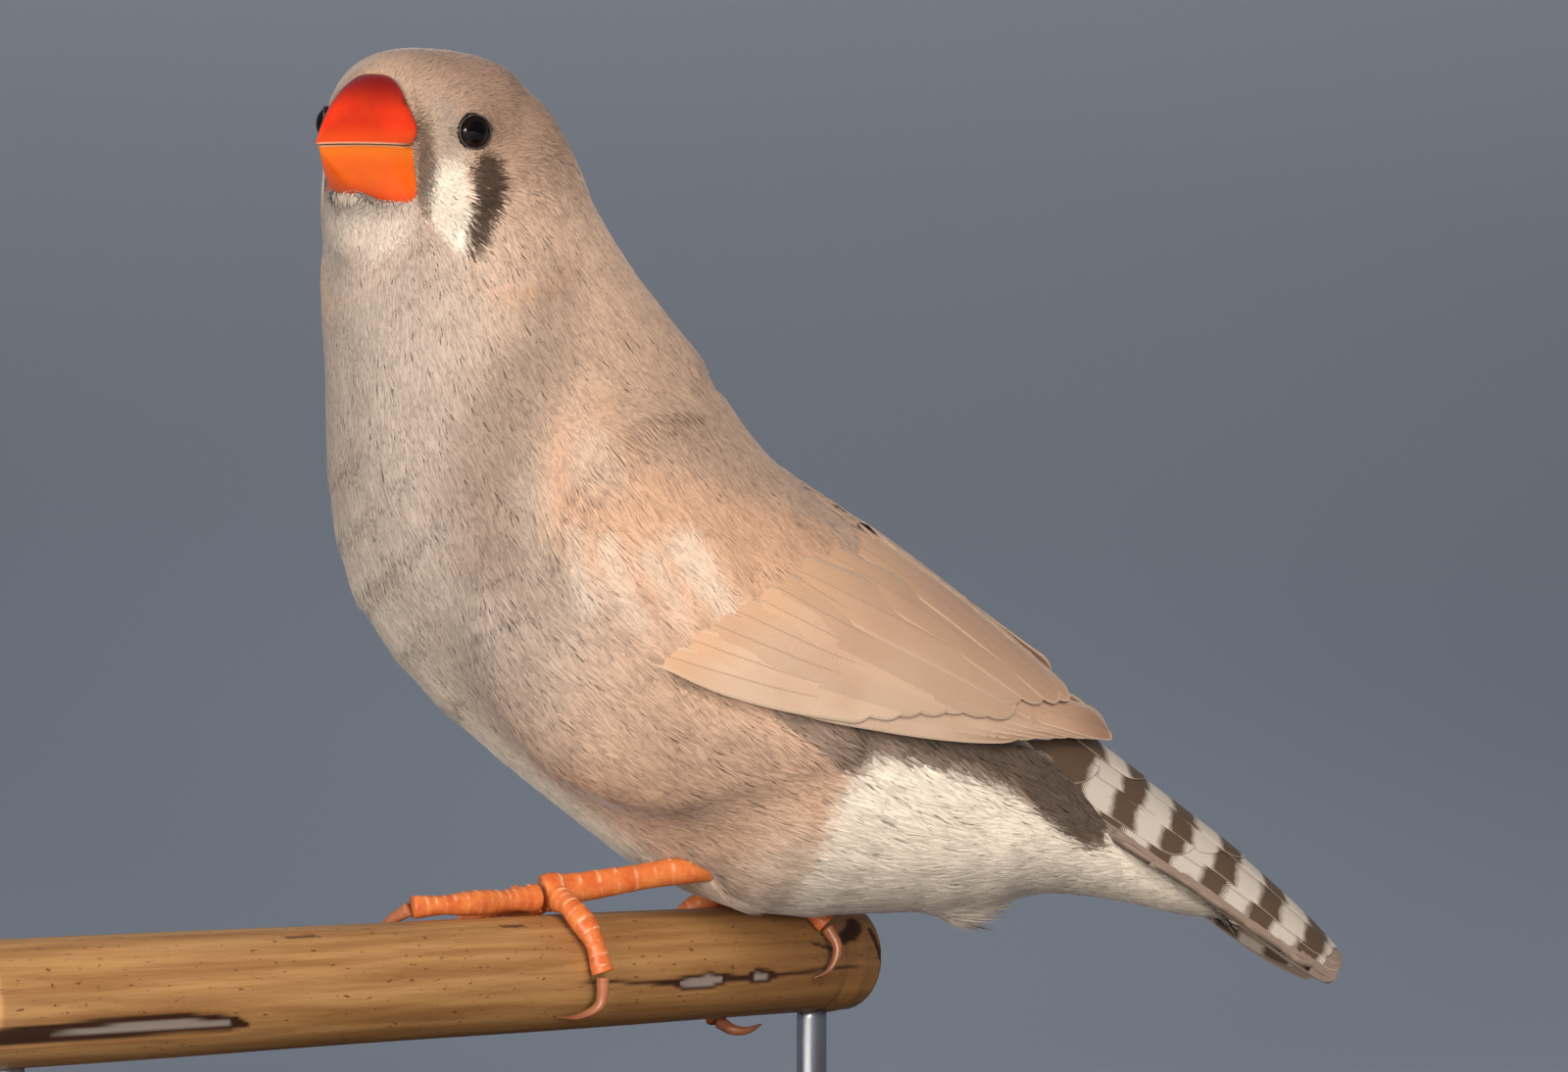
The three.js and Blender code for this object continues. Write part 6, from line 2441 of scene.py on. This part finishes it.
@dataclass
class Studio:
    """The camera at the photograph's own angle, soft lamps, a pale floor and a backdrop."""

    camera_place: tuple = (-53.777, -341.683, 40.6)
    azimuth: float = math.radians(-10)
    pitch: float = math.radians(2.33)
    lens: float = 101.25
    sensor: float = 36.0
    lamps: tuple = (
        ("key", (-401, -284, 92), 150, 0.95, (1.0, 0.96, 0.9)),
        ("key_two", (-250, -415, 96), 130, 0.75, (1.0, 0.97, 0.92)),
        ("front", (100, -470, 330), 320, 2.0, (1.0, 0.97, 0.94)),
        ("low", (60, -520, 76), 140, 0.9, (1.0, 0.97, 0.95)),
        ("top", (60, 240, 480), 360, 0.4, (0.95, 0.97, 1.0)),
    )
    target: tuple = (0, 8, 58)
    floor: tuple = (-900.0, 160.0, 1100.0, 2400.0, 2600.0)
    floor_steps: int = 32
    world_colour: str = "c3ccd9"
    world_strength: float = 0.2

    def build(self) -> None:
        """Places the camera, the lamps, the world's light, the floor and the backdrop."""
        camera = bpy.data.objects.new("camera", bpy.data.cameras.new("camera"))
        bpy.context.scene.collection.objects.link(camera)
        camera.location = Vector(self.camera_place) * MM
        back = Vector((
            math.sin(self.azimuth) * math.cos(self.pitch),
            -math.cos(self.azimuth) * math.cos(self.pitch),
            -math.sin(self.pitch),
        ))
        camera.rotation_mode = "QUATERNION"
        camera.rotation_quaternion = (-back).to_track_quat("-Z", "Y")
        camera.data.lens, camera.data.sensor_width = self.lens, self.sensor
        camera.data.clip_start, camera.data.clip_end = 0.01, 20
        bpy.context.scene.camera = camera
        for name, place, size, power, colour in self.lamps:
            lamp = bpy.data.lights.new(name, "AREA")
            lamp.shape, lamp.size, lamp.energy, lamp.color = "DISK", size * MM, power, colour
            holder = bpy.data.objects.new(name, lamp)
            holder.location = Vector(place) * MM
            holder.visible_glossy = name.startswith("key")
            aim = Vector(self.target) - Vector(place)
            holder.rotation_mode = "QUATERNION"
            holder.rotation_quaternion = aim.to_track_quat("-Z", "Y")
            bpy.context.scene.collection.objects.link(holder)
        world = bpy.data.worlds.new("studio")
        world.use_nodes = True
        background = world.node_tree.nodes["Background"]
        background.inputs["Color"].default_value = hex_colour(self.world_colour)
        background.inputs["Strength"].default_value = self.world_strength
        bpy.context.scene.world = world
        bpy.context.scene.view_settings.view_transform = "Standard"
        self.backdrop()

    def backdrop(self) -> None:
        """One pale sheet: a floor that rises in a wide curve behind the model, painted lighter towards the
        top, where less of the lamps' light reaches.
        """
        near, depth, rise, width, height = self.floor
        profile = [(near, 0.0), (depth, 0.0)]
        for i in range(1, self.floor_steps + 1):
            turn = math.pi / 2 * i / self.floor_steps
            profile.append((depth + rise * math.sin(turn), rise * (1 - math.cos(turn))))
        profile.append((depth + rise, height))
        rows = np.array([[[x, y, z] for x in (-width, width)] for y, z in profile])
        material = bpy.data.materials.new("backdrop")
        material.use_nodes = True
        graph = Graph(material.node_tree)
        shader = material.node_tree.nodes["Principled BSDF"]
        shader.inputs["Roughness"].default_value = 0.9
        soft = graph.noise(graph.place(), 1.6, 1.0)
        colour = graph.mix(graph.ease(soft, 0.3, 0.7), "9aa1ad", "aab1bc")
        # Painted light: the sheet lightens towards the top, where less of the lamps' light reaches it.
        up = graph.node("SeparateXYZ", {0: graph.place()}).outputs["Z"]
        colour = graph.mix(graph.ease(up, 0.03, 0.3), colour, "e2e7f0")
        graph.put(shader.inputs["Base Color"], colour)
        floor = Form(rows.reshape(-1, 3), [grid_faces(len(profile), 2)]).build("floor", material)


def wing_cover() -> BVHTree:
    """What hides the skin from outside: the wings behind their shoulders, and the tail.

    Returns:
        A tree of faces to cast rays against.
    """
    sheets = []
    for side in (-1, 1):
        v = np.linspace(-0.03, 1.0, 26)[None]
        start = WingFace(side).hem(v) + 0.02
        u = start + np.linspace(0, 1, 30)[:, None] * (0.96 - start)
        sheets.append(WingFace(side).at(u, v + 0 * u, 0.2))
    u, v = np.meshgrid(np.linspace(0.2, 0.9, 24), np.linspace(-0.85, 0.85, 24), indexing="ij")
    sheets.append(TailFace().at(u, v, 0))
    form = Form.joined([Form(sheet.reshape(-1, 3), [grid_faces(*sheet.shape[:2])]) for sheet in sheets])
    faces = [list(map(int, face)) for face in np.concatenate(form.faces)]
    return BVHTree.FromPolygons([Vector(point * MM) for point in form.points], faces)


def report(*pieces: Piece) -> None:
    """Logs each piece's name and how many faces it has."""
    for piece in pieces:
        LOG.info("%s: %d faces", piece.name, len(piece.data.polygons))


def main() -> None:
    """Builds the model in order and reports each piece."""
    logging.basicConfig(level=logging.INFO, format="%(message)s")
    Studio().build()
    plumage = Plumage("plumage", roughness=0.78, specular=0.25, sheen=0.25).build()
    skin = Skin().build(plumage)
    report(skin, *Coat().build(skin, plumage, wing_cover()))
    web = WebFinish("web", roughness=0.62, specular=0.3, sheen=0.15).build()
    report(*[Wing(side).build(web) for side in (-1, 1)])
    report(Tail().build(BarFinish("bars", roughness=0.62, specular=0.3, sheen=0.1).build()))
    upper = BillFinish("bill_upper", roughness=0.34, coat=0.25, depth=1.2)
    lower = BillFinish(
        "bill_lower", roughness=0.36, coat=0.2, depth=1.2, base="e8580c", deep="d43e06", bright="f27c18")
    report(Bill().build(1, upper.build()), Bill().build(-1, lower.build()))
    ball = EyeFinish("eye", roughness=0.05, specular=0.32).build()
    lid = LidFinish("lid", roughness=0.5).build()
    for side in (1, -1):
        report(*EyeSet(side).build(ball, lid))
    scale = ScaleFinish("scales", roughness=0.42, coat=0.1, depth=0.5).build()
    horn = ClawFinish("claws", roughness=0.35, coat=0.3, depth=0.4).build()
    for leg in LEGS:
        report(*leg.build(scale, horn))
    report(Perch().build(CaneFinish("cane", roughness=0.5, coat=0.08).build()))
    wood = WoodFinish("wood", roughness=0.38, coat=0.3).build()
    report(*Stand().build(wood, SteelFinish("steel", roughness=0.3).build()))
    LOG.info("all pieces made")


if __name__ == "__main__":
    main()
